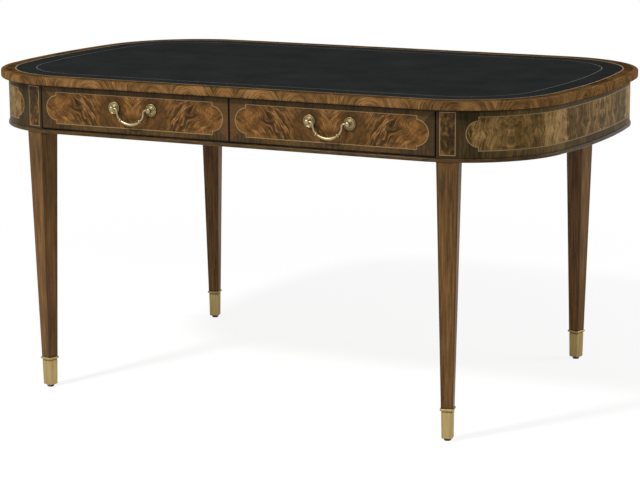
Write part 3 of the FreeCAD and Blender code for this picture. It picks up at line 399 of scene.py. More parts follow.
def arched_round_the_rim(tree):
    """Place in the border's figure: distance from the foot of an arch, along the rim, and up and in.

    Arches have their feet below the edge. With s the distance to the nearest foot along the rim, and v the
    height above it plus the distance in from the edge, the first is the root of s^2 + v^2.
    """
    apart, below = 130, 12
    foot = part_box("top_lipping")[0].z - below * MM
    along, out, z = add(tree, "SeparateXYZ", {0: round_the_rim(tree)})
    nearest = add(tree, "TexVoronoi", {"W": along, "Scale": per_metre(apart)},
                  voronoi_dimensions="1D")["Distance"]
    aside = add(tree, "Math", {0: nearest, 1: apart * MM}, operation="MULTIPLY")[0]
    up = add(tree, "Math", {0: z, 1: foot}, operation="SUBTRACT")[0]
    edge = table_sizes().corner_radius
    inwards = add(tree, "Math", {0: edge, 1: out}, operation="SUBTRACT")[0]
    climb = add(tree, "Math", {0: up, 1: inwards}, operation="ADD")[0]
    spoke = add(tree, "CombineXYZ", {0: aside, 1: climb})[0]
    ring = add(tree, "VectorMath", {0: spoke}, operation="LENGTH")["Value"]
    return add(tree, "CombineXYZ", {0: ring, 1: along, 2: climb})[0]


def across_a_drawer(tree):
    """Place on a drawer's face, folded at its middle, as in matched leaves, and the distance from there."""
    x, _, z = add(tree, "SeparateXYZ", {0: as_placed(tree)})
    side = add(tree, "Math", {0: x}, operation="ABSOLUTE")[0]
    offset = add(tree, "Math", {0: side, 1: middle_of("right_drawer_front").x}, operation="SUBTRACT")[0]
    fold = add(tree, "Math", {0: offset}, operation="ABSOLUTE")[0]
    return add(tree, "CombineXYZ", {0: fold, 1: FLITCH, 2: z})[0], fold


def round_an_end(tree):
    """Place on a bowed end, folded at each joint, as in matched leaves, and the distance along the end."""
    along, out, z = add(tree, "SeparateXYZ", {0: round_the_rim(tree)})
    fold = add(tree, "Math", {0: along, 1: table_sizes().leaf_width}, operation="PINGPONG")[0]
    return add(tree, "CombineXYZ", {0: fold, 1: out, 2: z})[0], along


def past_the_edges(tree):
    """How far a place is past a drawer's end, and past its upper or lower edge: below 0 on the face."""
    low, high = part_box("right_drawer_front")
    half = (high - low) / 2
    _, fold = across_a_drawer(tree)
    height = add(tree, "SeparateXYZ", {0: as_placed(tree)})["Z"]
    rise = add(tree, "Math", {0: height, 1: low.z + half.z}, operation="SUBTRACT")[0]
    rise = add(tree, "Math", {0: rise}, operation="ABSOLUTE")[0]
    return [add(tree, "Math", {0: place, 1: edge}, operation="SUBTRACT")[0]
            for place, edge in ((fold, half.x), (rise, half.z))]


def at_a_drawers_end(tree):
    """1 in a drawer's mitred ends, where its end is nearer than its upper or lower edge, else 0."""
    half_joint = 0.5 * MM
    end, edge = past_the_edges(tree)
    past = add(tree, "Math", {0: end, 1: edge}, operation="SUBTRACT")[0]
    return add(tree, "MapRange", {"Value": past, "From Min": -half_joint, "From Max": half_joint})[0]


def crossbanded(tree):
    """Place on a drawer's ground, with its grain across each strip: along is height in the mitred ends."""
    spot, _ = across_a_drawer(tree)
    x, y, z = add(tree, "SeparateXYZ", {0: spot})
    turned = add(tree, "CombineXYZ", {0: z, 1: y, 2: x})[0]
    end = at_a_drawers_end(tree)
    return add(tree, "Mix", {"Factor": end, "A": spot, "B": turned}, data_type="VECTOR")[1]


# Stains over a wood's colour

def painted_corner_shade(tree, stain, reach=12):
    """Painted shade in corners: dark where pieces within reach, in millimetres, close the view."""
    closed, open_view, darkest = 0.55, 0.9, 0.2
    # Painted shade: occlusion within reach darkens the colour
    openness = add(tree, "AmbientOcclusion", {"Distance": reach * MM}, samples=8)["AO"]
    share = add(tree, "MapRange", {"Value": openness, "From Min": closed, "From Max": open_view,
                                   "To Min": darkest})[0]
    return add(tree, "VectorMath", {0: stain, "Scale": share}, operation="SCALE")[0]


def drawers_ground(red, dark):
    """A drawer's inner end has a redder leaf, its outer end a darker one, and its edge is nearly black."""
    strength = 0.5
    edge_from, edge_to, edge_stain_and_shade = -2.5 * MM, -1.5 * MM, 0.2

    def tint(tree, stain):
        x = add(tree, "SeparateXYZ", {0: as_placed(tree)})["X"]
        side = add(tree, "Math", {0: x}, operation="ABSOLUTE")[0]
        middle = middle_of("right_drawer_front").x
        outside = add(tree, "Math", {0: side, 1: middle}, operation="GREATER_THAN")[0]
        leaf = add(tree, "Mix", {"Factor": outside, "A": (*red, 1), "B": (*dark, 1)}, data_type="RGBA")[2]
        share = add(tree, "Math", {0: at_a_drawers_end(tree), 1: strength}, operation="MULTIPLY")[0]
        mixed = add(tree, "Mix", {"Factor": share, "A": stain, "B": leaf}, data_type="RGBA")[2]
        # The nearly black edge is partly a stained arris and partly the gap's shadow, painted on
        end, edge = past_the_edges(tree)
        outer = add(tree, "Math", {0: end, 1: edge}, operation="MAXIMUM")[0]
        light = add(tree, "MapRange", {"Value": outer, "From Min": edge_from, "From Max": edge_to,
                                       "To Min": 1.0, "To Max": edge_stain_and_shade})[0]
        # Painted shade in corners over it all
        return painted_corner_shade(tree, add(tree, "VectorMath", {0: mixed, "Scale": light}, operation="SCALE")[0])
    return tint


def ends_ground_painted_light(tree, stain):
    """Painted light on the ends' ground, palest away from the corners: colour times a lightness along the
    rim.
    """
    along = add(tree, "SeparateXYZ", {0: round_the_rim(tree)})["X"]
    last = ENDS_GROUND_PAINTED_LIGHT[-1][0]
    most = max(light for _, light in ENDS_GROUND_PAINTED_LIGHT)
    share = add(tree, "MapRange", {"Value": along, "From Max": last * MM})[0]
    leaf = add(tree, "ValToRGB", {0: share},
               stops=[(at / last, (light / most,) * 3) for at, light in ENDS_GROUND_PAINTED_LIGHT])[0]
    toned = add(tree, "VectorMath", {0: stain, 1: leaf}, operation="MULTIPLY")[0]
    # Painted shade in corners over the painted light
    return painted_corner_shade(tree, add(tree, "VectorMath", {0: toned, "Scale": most}, operation="SCALE")[0])


# Materials

def burl(name, tints, place, leaves, lean, finish):
    """Burl walnut veneer, lacquered: leaning streaks and fibres over mottle and flecks, in joined leaves.

    Clouds pull the figure about, and a pale fibre is where a noise crosses its middle. Fibres and flecks
    are coarser than real ones, so that they show. leaves gives a lightness and the strengths of streaks
    and mottle by millimetres along the face: level = lightness + strength * streaks + strength * mottle.
    """
    cloud_size, mottle_size, fleck_size = 45, 20, 2
    streak_size, fibre_size = (6, 60, 60), (4, 60, 60)
    pull_reach, joint_reach = 45 * MM, 30 * MM
    fibre_middle, fibre_width = 0.5, 0.03
    levels = (0.12, 0.38, 0.6, 0.9)
    fleck_depth, shade_reach = 0.04, 22
    material, tree = blank(name)
    spot, along = place(tree)
    cloud = add(tree, "TexNoise", {"Vector": spot, "Scale": per_metre(cloud_size), "Detail": 1})
    pull, bent = pulled_about(tree, spot, cloud, pull_reach)
    leaning = add(tree, "VectorRotate", {"Vector": bent, "Angle": lean}, rotation_type="Y_AXIS")[0]
    feather = add(tree, "VectorMath", {0: leaning, 1: per_metre(*streak_size)}, operation="MULTIPLY")[0]
    streaks = add(tree, "TexNoise", {"Vector": feather, "Scale": 1, "Detail": 4, "Roughness": 0.6})[0]
    threads = add(tree, "VectorMath", {0: leaning, 1: per_metre(*fibre_size)}, operation="MULTIPLY")[0]
    crossing = add(tree, "TexNoise", {"Vector": threads, "Scale": 1, "Detail": 1})[0]
    fibres = add(tree, "Math", {0: crossing, 1: fibre_middle, 2: fibre_width}, operation="COMPARE")[0]
    mottle = add(tree, "TexNoise", {"Vector": bent, "Scale": per_metre(mottle_size), "Detail": 4,
                                    "Roughness": 0.6})[0]
    flecks = add(tree, "TexNoise", {"Vector": spot, "Scale": per_metre(fleck_size), "Detail": 2})[0]
    pull_x = add(tree, "SeparateXYZ", {0: pull})["X"]
    slide = add(tree, "Math", {0: pull_x, 1: joint_reach, 2: along}, operation="MULTIPLY_ADD")[0]
    first, last = leaves[0][0], leaves[-1][0]
    share = add(tree, "MapRange", {"Value": slide, "From Min": first * MM, "From Max": last * MM})[0]
    leaf = add(tree, "ValToRGB", {0: share},
               stops=[((at - first) / (last - first), values) for at, *values in leaves])[0]
    level, streaked, mottled = add(tree, "SeparateColor", {0: leaf})
    for broad, gain, base, fine, fine_gain, strength in ((streaks, 1.2, -0.6, fibres, 0.32, streaked),
                                                         (mottle, 1.1, -0.75, flecks, 0.4, mottled)):
        figure = add(tree, "Math", {0: broad, 1: gain, 2: base}, operation="MULTIPLY_ADD")[0]
        figure = add(tree, "Math", {0: fine, 1: fine_gain, 2: figure}, operation="MULTIPLY_ADD")[0]
        level = add(tree, "Math", {0: figure, 1: strength, 2: level}, operation="MULTIPLY_ADD")[0]
    tint = add(tree, "ValToRGB", {0: level}, stops=list(zip(levels, tints)))[0]
    # Painted shade under the rim and round the handles' rosettes and bails
    surfaced(tree, painted_corner_shade(tree, tint, shade_reach), flecks, fleck_depth, finish)
    return material


def grained(name, tints, cell, finish, place=as_placed, sway=4, tint=None):
    """Grained wood: streaks of a cell's size in millimetres that sway with broad clouds, and fine pores.

    Pores are coarser than real ones, so that they show. The level is streaks plus shares of clouds and
    pores. tint may add to the colour: it is given the tree and the colour's socket.
    """
    cloud_size, pore_size = 60, 2
    cloud_gain, pore_gain, base = 0.6, 0.2, 0.4
    levels = np.linspace(0.28, 0.72, len(tints))
    streak_depth = 0.06
    material, tree = blank(name)
    spot = place(tree)
    cloud = add(tree, "TexNoise", {"Vector": spot, "Scale": per_metre(cloud_size), "Detail": 3})
    _, bent = pulled_about(tree, spot, cloud, sway * MM)
    grain = add(tree, "VectorMath", {0: bent, 1: per_metre(*cell)}, operation="MULTIPLY")[0]
    streaks = add(tree, "TexNoise", {"Vector": grain, "Scale": 1, "Detail": 5, "Roughness": 0.6})[0]
    pores = add(tree, "TexNoise", {"Vector": spot, "Scale": per_metre(pore_size), "Detail": 2})[0]
    level = add(tree, "Math", {0: cloud[0], 1: cloud_gain, 2: streaks}, operation="MULTIPLY_ADD")[0]
    level = add(tree, "Math", {0: pores, 1: pore_gain, 2: level}, operation="MULTIPLY_ADD")[0]
    level = add(tree, "Math", {0: level, 1: base}, operation="SUBTRACT")[0]
    stain = add(tree, "ValToRGB", {0: level}, stops=list(zip(levels, tints)))[0]
    surfaced(tree, tint(tree, stain) if tint else stain, streaks, streak_depth, finish)
    return material


def legs_walnut(tints, block):
    """Straight walnut, lacquered: a dark band of stain along each arris, dark blocks and painted shade.

    All legs are folded on to one: x and y without their signs, turned about the leg's own middle line.
    Height is shortened in the figure, so that streaks are about 110 mm long and clouds 400 mm.
    """
    sizes = table_sizes()
    spot = leg_spots()["back_right"]
    shortened = (1, 1, 0.15)
    band_from, band_to, band_strength = 1.5 * MM, 4 * MM, 0.62
    block_strength, block_rise = 0.85, 1 * MM
    sabot_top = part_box("front_right_sabot")[1].z
    bead_foot, bead_top = (point.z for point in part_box("leg_beads"))

    def own_frame(tree):
        """Place in a leg's own frame."""
        whole = add(tree, "VectorMath", {0: as_placed(tree)}, operation="ABSOLUTE")[0]
        moved = add(tree, "VectorMath", {0: whole, 1: (spot.x, spot.y, 0)}, operation="SUBTRACT")[0]
        return add(tree, "VectorRotate", {"Vector": moved, "Angle": sizes.leg_angle},
                   rotation_type="Z_AXIS")[0]

    def along_the_grain(tree):
        """Place in a leg's figure."""
        return add(tree, "VectorMath", {0: own_frame(tree), 1: shortened}, operation="MULTIPLY")[0]

    def arrises(tree, stain):
        """Stain at side - min(|x|, |y|) from an arris, with a side that widens from sabot to apron."""
        place = add(tree, "VectorMath", {0: own_frame(tree)}, operation="ABSOLUTE")[0]
        x, y, z = add(tree, "SeparateXYZ", {0: place})
        side = add(tree, "MapRange", {"Value": z, "From Min": sabot_top, "From Max": bead_foot,
                                      "To Min": sizes.leg_foot / 2, "To Max": sizes.leg_head / 2})[0]
        inner = add(tree, "Math", {0: x, 1: y}, operation="MINIMUM")[0]
        edge = add(tree, "Math", {0: side, 1: inner}, operation="SUBTRACT")[0]
        band = add(tree, "MapRange", {"Value": edge, "From Min": band_from, "From Max": band_to,
                                      "To Min": band_strength, "To Max": 0.0})[0]
        stained = add(tree, "Mix", {"Factor": band, "A": stain, "B": (*tints[0], 1)}, data_type="RGBA")[2]
        high = add(tree, "MapRange", {"Value": z, "From Min": bead_top - block_rise, "From Max": bead_top,
                                      "To Max": block_strength})[0]
        darker = add(tree, "Mix", {"Factor": high, "A": stained, "B": (*block, 1)}, data_type="RGBA")[2]
        # Painted shade in corners, as under the apron and beside the beads
        return painted_corner_shade(tree, darker)

    return grained("polished walnut", tints, cell=(4, 4, 16), finish=lacquer(roughness=0.42),
                   place=along_the_grain, tint=arrises)


def smooth_leather(tints):
    """Black aniline leather, plated smooth: dull sheen over pebbles, drawn coarser than real to show."""
    pebble_size, pebble_depth, cloud_size = 2, 0.06, 110
    levels = (0.35, 0.75)
    material, tree = blank("black leather")
    place = as_placed(tree)
    pebbles = add(tree, "TexVoronoi", {"Vector": place, "Scale": per_metre(pebble_size)},
                  feature="DISTANCE_TO_EDGE")[0]
    clouds = add(tree, "TexNoise", {"Vector": place, "Scale": per_metre(cloud_size), "Detail": 5,
                                    "Roughness": 0.6})[0]
    tint = add(tree, "ValToRGB", {0: clouds}, stops=list(zip(levels, tints)))[0]
    finish = {"Roughness": 0.75, "IOR": 1.45, "Specular IOR Level": 0.004}
    surfaced(tree, tint, pebbles, pebble_depth, finish)
    return material


def rubbed_brass(name, tints, cell, dull, shone):
    """Cast brass, lacquered and rubbed: warm satin metal, clouded or streaked, with brown hollows.

    cell is the clouds' size in millimetres, tall where a file was drawn along the piece. dull and shone
    are the roughnesses between which the clouds vary. The brown of the hollows is patina and painted
    shade, darkest where the piece's own parts close in.
    """
    rub_and_shade_reach, rub_and_shade_share, cloud_share = 6 * MM, 0.7, 0.3
    levels = (0.4, 0.68, 0.88)
    cloud_low, cloud_high = 0.3, 0.7
    grit_size, grit_depth = 1.2, 0.01
    material, tree = blank(name)
    place = as_placed(tree)
    drawn = add(tree, "VectorMath", {0: place, 1: per_metre(*cell)}, operation="MULTIPLY")[0]
    clouds = add(tree, "TexNoise", {"Vector": drawn, "Scale": 1, "Detail": 4, "Roughness": 0.5})[0]
    # Patina and painted shade: occlusion darkens the hollows, as under the sabots' collars
    rubbed = add(tree, "AmbientOcclusion", {"Distance": rub_and_shade_reach}, samples=8)["AO"]
    patches = add(tree, "Math", {0: clouds, 1: cloud_share}, operation="MULTIPLY")[0]
    worn = add(tree, "Math", {0: rubbed, 1: rub_and_shade_share, 2: patches}, operation="MULTIPLY_ADD")[0]
    tint = add(tree, "ValToRGB", {0: worn}, stops=list(zip(levels, tints)))[0]
    gloss = add(tree, "MapRange", {"Value": clouds, "From Min": cloud_low, "From Max": cloud_high,
                                   "To Min": dull, "To Max": shone})[0]
    grit = add(tree, "TexNoise", {"Vector": place, "Scale": per_metre(grit_size), "Detail": 2})[0]
    surfaced(tree, tint, grit, grit_depth, {"Metallic": 1.0, "Roughness": gloss})
    return material


def plain(name, tint, speckle, finish):
    """Even surface with a fine mottle, which darkens it by a share, speckle, at most."""
    mottle_size, mottle_depth = 3, 0.03
    levels = (0.35, 0.65)
    material, tree = blank(name)
    place = as_placed(tree)
    mottle = add(tree, "TexNoise", {"Vector": place, "Scale": per_metre(mottle_size), "Detail": 4})[0]
    darker = tuple(part * (1 - speckle) for part in tint)
    mottled = add(tree, "ValToRGB", {0: mottle}, stops=list(zip(levels, (darker, tint))))[0]
    surfaced(tree, mottled, mottle, mottle_depth, finish)
    return material


def finish_nodes(material, *names):
    """Give CAD nodes a material."""
    for name in names:
        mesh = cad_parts[name].data
        mesh.materials.clear()
        mesh.materials.append(material)


def dressed(piece, material, body, slot, *nodes):
    """Finish a new piece: material, the body it rides on, and the nodes it replaces; slot is not used."""
    piece.data.materials.clear()
    piece.data.materials.append(material)
    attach(piece, body)
    if nodes:
        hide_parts(*nodes)


# Veneers

def burl_panels():
    """Burl panels of the drawers, the back, the ends and the leg blocks."""
    sizes = table_sizes()
    # Warm brown leaves on either side of a middle joint, with a flame along it
    warm = tones("burl_dark", "burl_brown", "burl_tan", "burl_pale")
    finish_nodes(burl("drawer burl", warm, across_a_drawer, DRAWER_LEAVES, sizes.lean, lacquer()),
                 "back_panels", *both("drawer_panel"))
    # Olive brown leaves in a row, each of its own tone, with nearly upright figure; the olive is the
    # green cast of the light on the ends, painted into the veneer
    leaf = sizes.leaf_width / MM
    joints, upright = (0.03, 0.97), 0.2
    ends = [((step + part) * leaf, *shown) for step, shown in enumerate(END_LEAVES) for part in joints]
    shady = tones("end_dark", "end_brown", "end_tan", "end_pale")
    finish_nodes(burl("end burl", shady, round_an_end, ends, upright, lacquer(level=0.03)),
                 *both("end_panel"))
    # Dark burl cut across its eyes: spots of brown on black
    dark = tones("panel_dark", "panel_brown", "burl_tan")
    finish_nodes(grained("leg panel burl", dark, cell=(7, 7, 16), finish=lacquer(), sway=30), "leg_panels")


def top_border():
    """Walnut from a fork of the tree: fine lines in arches, with no gloss that would grey the arris."""
    dull = lacquer(roughness=0.45, level=0.0)
    edge = tones("edge_dark", "edge_brown", "edge_tan")
    # The border on the top's face takes darker colours than the edge: painted shade
    band = tones("shaded_border_dark", "shaded_border_brown")
    for name, tints, width, node in (("edge walnut", edge, 3.5, "top_lipping"),
                                     ("border walnut", band, 5, "top_crossbanding")):
        finish_nodes(grained(name, tints, (width, 60, 60), dull, arched_round_the_rim, sway=30), node)


def grounds():
    """Straight walnut laid across rails and drawers' edges: narrow dark streaks that sway a little."""
    strip, sway = (4, 70, 45), 25
    ground = tones("ground_dark", "ground_brown")
    # Painted shade under the rim and above the bead
    finish_nodes(grained("dark walnut ground", ground, strip, lacquer(), round_the_rim, sway, painted_corner_shade),
                 "back_rail", "front_lower_rail")
    # Greener ground on the ends, with the green cast of the light there painted in, and hardly any gloss
    olive = tones("olive_dark", "olive_brown")
    finish_nodes(grained("olive walnut ground", olive, strip, lacquer(level=0.03), round_the_rim, sway,
                         ends_ground_painted_light), *both("end_rail"))
    # Strips that meet in mitres at the drawers' corners
    mitred = drawers_ground(*tones("ground_red", "olive_dark"))
    finish_nodes(grained("mitred walnut ground", ground, strip, lacquer(), crossbanded, sway, mitred),
                 *both("drawer_front"))
    # Mouldings cut along the grain, with more gloss on their rounds and painted shade in their quirks
    finish_nodes(grained("dark walnut bead", ground, cell=(30, 4, 4), finish=lacquer(roughness=0.3),
                         place=round_the_rim, tint=painted_corner_shade),
                 "front_bead", "back_bead", "end_beads", "leg_beads")


class TABLE_OT_veneers(bpy.types.Operator):
    """Burl on the panels, figured walnut on the top's border, dark grounds and pale stringing"""
    bl_idname = "table.veneers"
    bl_label = "Veneers"
    bl_options = {"REGISTER", "UNDO"}

    def execute(self, context):
        burl_panels()
        top_border()
        grounds()
        # Boxwood, cut in fine lines and lacquered: pale and nearly even
        finish_nodes(plain("boxwood stringing", *tones("boxwood"), speckle=0.2, finish=lacquer()),
                     "top_stringing", "apron_stringing", "leg_stringing", *both("drawer_stringing"))
        return {"FINISHED"}


class TABLE_OT_leather(bpy.types.Operator):
    """Black leather writing surface with a tooled line"""
    bl_idname = "table.leather"
    bl_label = "Leather"
    bl_options = {"REGISTER", "UNDO"}

    def execute(self, context):
        finish_nodes(smooth_leather(tones("leather", "leather_worn")), "leather_inset")
        # Leather pressed with a hot wheel: a little paler and smoother than the rest
        tooling = plain("blind tooled line", *tones("tooling"), speckle=0.3, finish={"Roughness": 0.5})
        dressed(tooled_line(), tooling, "table", "leather")
        return {"FINISHED"}


class TABLE_OT_legs(bpy.types.Operator):
    """Polished walnut legs"""
    bl_idname = "table.legs"
    bl_label = "Legs"
    bl_options = {"REGISTER", "UNDO"}

    def execute(self, context):
        walnut = legs_walnut(tones("leg_dark", "leg_brown"), *tones("ground_dark"))
        finish_nodes(walnut, *[f"{corner}_leg" for corner in CORNERS])
        return {"FINISHED"}


# Brass

def sabot(corner, spot):
    """Square cup: at each height a superellipse |x|^n + |y|^n = side^n, turned with its leg.

    Its profile rises from a bevelled foot to the neck, a groove and a rounded collar, up to the leg.
    """
    sizes = table_sizes()
    low, high = (point.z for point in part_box(f"{corner}_sabot"))
    sides = (sizes.sabot_foot, sizes.sabot_neck, sizes.sabot_collar, sizes.leg_foot)
    foot, neck, collar, leg = (side / 2 for side in sides)
    bevel, groove, crown, lap = 1.2 * MM, 0.9 * MM, 0.3 * MM, 0.5 * MM
    depths = np.array([10, 9, 8.6, 6.4, 5.6, 3.6, 2.4, 1, 0, 0]) * MM
    heights = np.concatenate([low + bevel * np.arange(3), high - depths])
    reaches = np.array([
        foot - bevel, foot, foot, neck, neck, neck - groove, neck - groove,
        collar - bevel, collar - crown, collar, collar - crown, collar - bevel, leg - lap,
    ])
    columns, power = 96, 14
    around = np.linspace(0, 2 * np.pi, columns, endpoint=False)
    square = (np.abs(np.cos(around)) ** power + np.abs(np.sin(around)) ** power) ** (-1 / power)
    turn = sizes.leg_angle * (1 if spot.x * spot.y < 0 else -1)
    ring = np.stack([square * np.cos(around + turn), square * np.sin(around + turn)], 1)
    grid = np.empty((len(heights), columns, 3))
    grid[:, :, :2] = np.array([spot.x, spot.y]) + reaches[:, None, None] * ring
    grid[:, :, 2] = heights[:, None]
    return surface(f"{corner}_cup", grid)


def rosette(side, x):
    """Stepped disc: height is a raised rim, a dished ring with a ripple of petals and a plain seat.

    The ripple is a cosine round the disc, strongest at one distance from its middle.
    """
    spot = handle_spot(side)
    low, high = (point.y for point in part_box(f"{side}_rosettes"))
    columns, petals, petal_rise, petal_reach, petal_width = 96, 12, 0.05, 0.64, 0.08
    around = np.linspace(0, 2 * np.pi, columns, endpoint=False)
    strength = petal_rise * np.exp(-((ROSETTE_REACH - petal_reach) / petal_width) ** 2)
    rise = ROSETTE_RISE[:, None] + strength[:, None] * np.cos(petals * around)
    reach = table_sizes().rosette * ROSETTE_REACH[:, None]
    grid = np.empty((len(ROSETTE_REACH), columns, 3))
    grid[:, :, 0] = x + reach * np.cos(around)
    grid[:, :, 1] = spot.y - (high - low) * np.clip(rise, 0, 1)
    grid[:, :, 2] = spot.z + reach * np.sin(around)
    return surface(f"{side}_rosette", grid)


def bail(side):
    """Swan-neck bail: arcs of circles from the middle of the grip to a post, and their mirror image.

    The radius falls from the grip's middle to its collars as 1 - s^2, swells at the collars as a
    rounded bump and stays even along the necks.
    """
    sizes = table_sizes()
    bend, bottom, flank = sizes.bail_bend, sizes.bail_bottom, sizes.bail_side
    in_the_post, collar_half = 2 * MM, 2 * MM
    grip_height = bottom - sizes.bail_drop
    inset = bottom - flank
    flank_centre = np.array([inset * math.sin(bend), grip_height - inset * math.cos(bend)])
    neck = -flank_centre[1]
    neck_centre = flank_centre + [flank + neck, 0]
    lower = np.linspace(0, bend, 40)
    rising = np.linspace(bend - np.pi / 2, 0, 30)[1:]
    turning = np.linspace(np.pi, np.pi / 2, 24)[1:]
    level = np.linspace(neck_centre[0], sizes.handle_spacing / 2 - in_the_post, 8)[1:]
    half = np.concatenate([
        np.stack([bottom * np.sin(lower), grip_height - bottom * np.cos(lower)], 1),
        flank_centre + flank * np.stack([np.cos(rising), np.sin(rising)], 1),
        neck_centre + neck * np.stack([np.cos(turning), np.sin(turning)], 1),
        np.stack([level, np.zeros_like(level)], 1),
    ])
    steps = np.linalg.norm(np.diff(half, axis=0), axis=1)
    run = np.concatenate([[0], np.cumsum(steps)])
    collar = bottom * bend
    ends = sizes.bail_neck
    thick = np.where(run < collar, ends + (sizes.bail_grip - ends) * (1 - (run / collar) ** 2), ends)
    thick += (sizes.bail_collar - ends) * np.exp(-((run - collar) / collar_half) ** 4)
    plane = np.concatenate([half[:0:-1] * [-1, 1], half])
    thick = np.concatenate([thick[:0:-1], thick])
    spot = handle_spot(side)
    pivot = middle_of(f"{side}_bail").y
    path = np.stack([spot.x + plane[:, 0], np.full(len(plane), pivot), spot.z + plane[:, 1]], 1)
    inwards = np.array([0.0, 1.0, 0.0])
    return surface(f"{side}_swan_neck", carried(path, inwards, thick, thick, columns=20))


class TABLE_OT_brass(bpy.types.Operator):
    """Brass sabots, rosettes, posts and bails"""
    bl_idname = "table.brass"
    bl_label = "Brass"
    bl_options = {"REGISTER", "UNDO"}

    def execute(self, context):
        brass = rubbed_brass("mellow brass", tones("brass_patina_and_shade", "brass_dark", "brass"),
                             cell=(7, 7, 80), dull=0.62, shone=0.5)
        antique = rubbed_brass("antique brass", tones("antique_patina_and_shade", "antique_dark", "antique"),
                               cell=(15, 15, 15), dull=0.45, shone=0.32)
        for corner, spot in leg_spots().items():
            dressed(sabot(corner, spot), brass, "table", "brass", f"{corner}_sabot")
        aside = table_sizes().handle_spacing / 2
        for side in SIDES:
            middle = handle_spot(side).x
            pair = [rosette(side, middle + way * aside) for way in (-1, 1)]
            dressed(joined(*pair), antique, f"{side}_drawer", "brass", f"{side}_rosettes")
            dressed(bail(side), antique, f"{side}_bail", "brass", f"{side}_bail")
            finish_nodes(antique, f"{side}_posts")
        return {"FINISHED"}


class TABLE_OT_insides(bpy.types.Operator):
    """Drawer linings, carcase, screws, nuts and glides"""
    bl_idname = "table.insides"
    bl_label = "Insides"
    bl_options = {"REGISTER", "UNDO"}

    def execute(self, context):
        bare = {"Roughness": 0.6}
        # Oak boards, planed and left bare: pale, with straight grain along each board
        oak = tones("oak_dark", "oak")
        finish_nodes(grained("oak linings", oak, cell=(4, 110, 4), finish=bare),
                     *both("drawer_inner_side", "drawer_outer_side", "drawer_bottom"))
        finish_nodes(grained("oak backs", oak, cell=(110, 4, 4), finish=bare), *both("drawer_back"))
        # Plain wood, sawn and planed: broader grain and a duller brown
        soft = tones("carcase_dark", "carcase")
        finish_nodes(grained("plain carcase wood", soft, cell=(6, 120, 6), finish=bare), *both("runner"),
                     "centre_runner", "drawer_kickers", "centre_divider")
        finish_nodes(grained("plain carcase boards", soft, cell=(120, 6, 6), finish=bare), "top_core",
                     "front_upper_rail", "drawer_stops", "corner_braces")
        # Rolled steel, bright but not polished
        bright = {"Metallic": 1.0, "Roughness": 0.35}
        finish_nodes(plain("bright steel", *tones("steel"), speckle=0.15, finish=bright), "top_screws",
                     *both("nuts"))
        # Moulded nylon: dark and a little dull
        finish_nodes(plain("dark nylon", *tones("glide"), speckle=0.2, finish={"Roughness": 0.5}), "glides")
        return {"FINISHED"}


# Stage

def floor():
    """Square sheet on z = 0 that reaches far behind the table."""
    reach = 30.0
    corners = [(x * reach, y * reach, 0) for x, y in ((-1, -1), (1, -1), (1, 1), (-1, 1))]
    mesh = bpy.data.meshes.new("floor")
    mesh.from_pydata(corners, [], [(0, 1, 2, 3)])
    mesh.materials.append(paper(*tones("floor")))
    placed("floor", mesh)


def paper(tint):
    """Matt white paper that keeps the table's shadow and glows evenly white from about 2 m away."""
    fibre_size, shade, levels = 25, 0.985, (0.3, 0.7)
    near, far, near_glow = 0.9, 2.6, 0.85
    material, tree = blank("studio paper")
    place = as_placed(tree)
    fibre = add(tree, "TexNoise", {"Vector": place, "Scale": per_metre(fibre_size), "Detail": 3})[0]
    grey = tuple(part * shade for part in tint)
    mottled = add(tree, "ValToRGB", {0: fibre}, stops=list(zip(levels, (grey, tint))))[0]
    matt = add(tree, "BsdfDiffuse", {"Color": mottled})[0]
    away = add(tree, "VectorMath", {0: place}, operation="LENGTH")["Value"]
    glow = add(tree, "MapRange", {"Value": away, "From Min": near, "From Max": far, "To Min": near_glow},
               interpolation_type="SMOOTHSTEP")[0]
    camera_ray = add(tree, "LightPath")["Is Camera Ray"]
    seen = add(tree, "Math", {0: glow, 1: camera_ray}, operation="MULTIPLY")[0]
    white = add(tree, "Emission", {"Color": (1, 1, 1, 1), "Strength": 1.0})[0]
    add(tree, "OutputMaterial", {"Surface": add(tree, "MixShader", {0: seen, 1: matt, 2: white})[0]})
    return material


def lamps():
    """A key from the front left, a weak broad lamp in front, and a broad fill from the back right."""
    aim = Vector((0, 0, 0.55))
    for name, place, size, power in LAMPS:
        light = bpy.data.lights.new(name, "AREA")
        light.shape = "DISK"
        light.size = size
        light.energy = power
        lamp = placed(name, light)
        lamp.location = place
        lamp.rotation_euler = (aim - lamp.location).to_track_quat("-Z", "Y").to_euler()


def sky(scene):
    """Even white light, shown as white to the camera and in reflections."""
    lighting = 0.38
    world = bpy.data.worlds.new("studio")
    scene.world = world
    world.use_nodes = True
    tree = world.node_tree
    tree.nodes.clear()
    path = add(tree, "LightPath")
    shown = path["Is Camera Ray"]
    for ray in ("Is Glossy Ray", "Is Transmission Ray"):
        shown = add(tree, "Math", {0: shown, 1: path[ray]}, operation="MAXIMUM")[0]
    strength = add(tree, "MapRange", {"Value": shown, "To Min": lighting, "To Max": 1.0})[0]
    light = add(tree, "Background", {"Color": (1, 1, 1, 1), "Strength": strength})[0]
    add(tree, "OutputWorld", {"Surface": light})


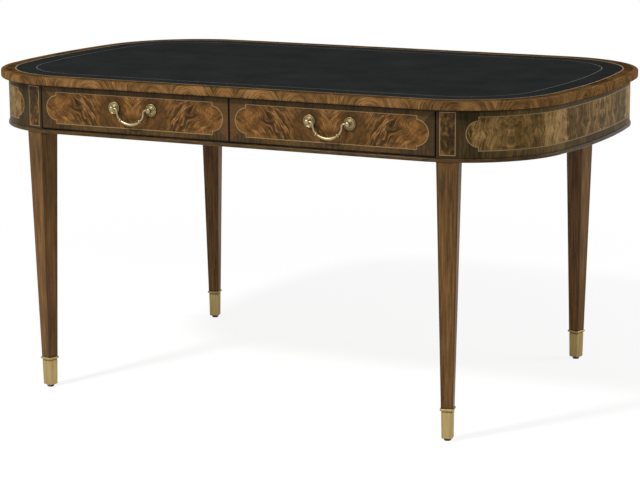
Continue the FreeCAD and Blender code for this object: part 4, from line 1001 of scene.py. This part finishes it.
def camera(scene):
    """Long lens at the photograph's angle: yaw from straight ahead, pitch down, a trace of roll."""
    yaw, pitch, roll, distance = -0.4739, 0.1986, -0.0065, 5.444
    target = Vector((0.0055, 0, 0.3382))
    ahead = Vector((math.sin(yaw) * math.cos(pitch), math.cos(yaw) * math.cos(pitch), -math.sin(pitch)))
    right = Vector((math.cos(yaw), -math.sin(yaw), 0))
    above = right.cross(ahead)
    right, above = (right * math.cos(roll) + above * math.sin(roll),
                    above * math.cos(roll) - right * math.sin(roll))
    view = bpy.data.cameras.new("camera")
    view.sensor_width = 36
    view.lens = 123.44
    view.clip_end = 100
    eye = placed("camera", view)
    turn = Matrix((right, above, -ahead)).transposed().to_4x4()
    eye.matrix_world = Matrix.Translation(target - ahead * distance) @ turn
    scene.camera = eye


class TABLE_OT_stage(bpy.types.Operator):
    """Plain pale floor, soft studio light and the camera"""
    bl_idname = "table.stage"
    bl_label = "Stage"
    bl_options = {"REGISTER", "UNDO"}

    def execute(self, context):
        scene = context.scene
        scene.view_settings.view_transform = "Standard"
        floor()
        lamps()
        sky(scene)
        camera(scene)
        return {"FINISHED"}


class TABLE_PT_finishes(bpy.types.Panel):
    """Sizes, colours and finishes of the writing table"""
    bl_idname = "TABLE_PT_finishes"
    bl_label = "Writing table"
    bl_space_type = "VIEW_3D"
    bl_region_type = "UI"
    bl_category = "Table"

    def draw(self, context):
        layout = self.layout
        for operator in OPERATORS:
            layout.operator(operator.bl_idname)
        for group in (context.scene.table_sizes, context.scene.table_colours):
            for name in group.__annotations__:
                layout.prop(group, name)


OPERATORS = (
    TABLE_OT_veneers, TABLE_OT_leather, TABLE_OT_legs, TABLE_OT_brass, TABLE_OT_insides, TABLE_OT_stage,
)
CLASSES = (TableSizes, TableColours, *OPERATORS, TABLE_PT_finishes)


def register():
    for made in CLASSES:
        bpy.utils.register_class(made)
    bpy.types.Scene.table_sizes = PointerProperty(type=TableSizes)
    bpy.types.Scene.table_colours = PointerProperty(type=TableColours)


def unregister():
    del bpy.types.Scene.table_colours
    del bpy.types.Scene.table_sizes
    for made in reversed(CLASSES):
        bpy.utils.unregister_class(made)


def main():
    register()
    bpy.ops.table.veneers()
    bpy.ops.table.leather()
    bpy.ops.table.legs()
    bpy.ops.table.brass()
    bpy.ops.table.insides()
    bpy.ops.table.stage()


if __name__ == "__main__":
    main()
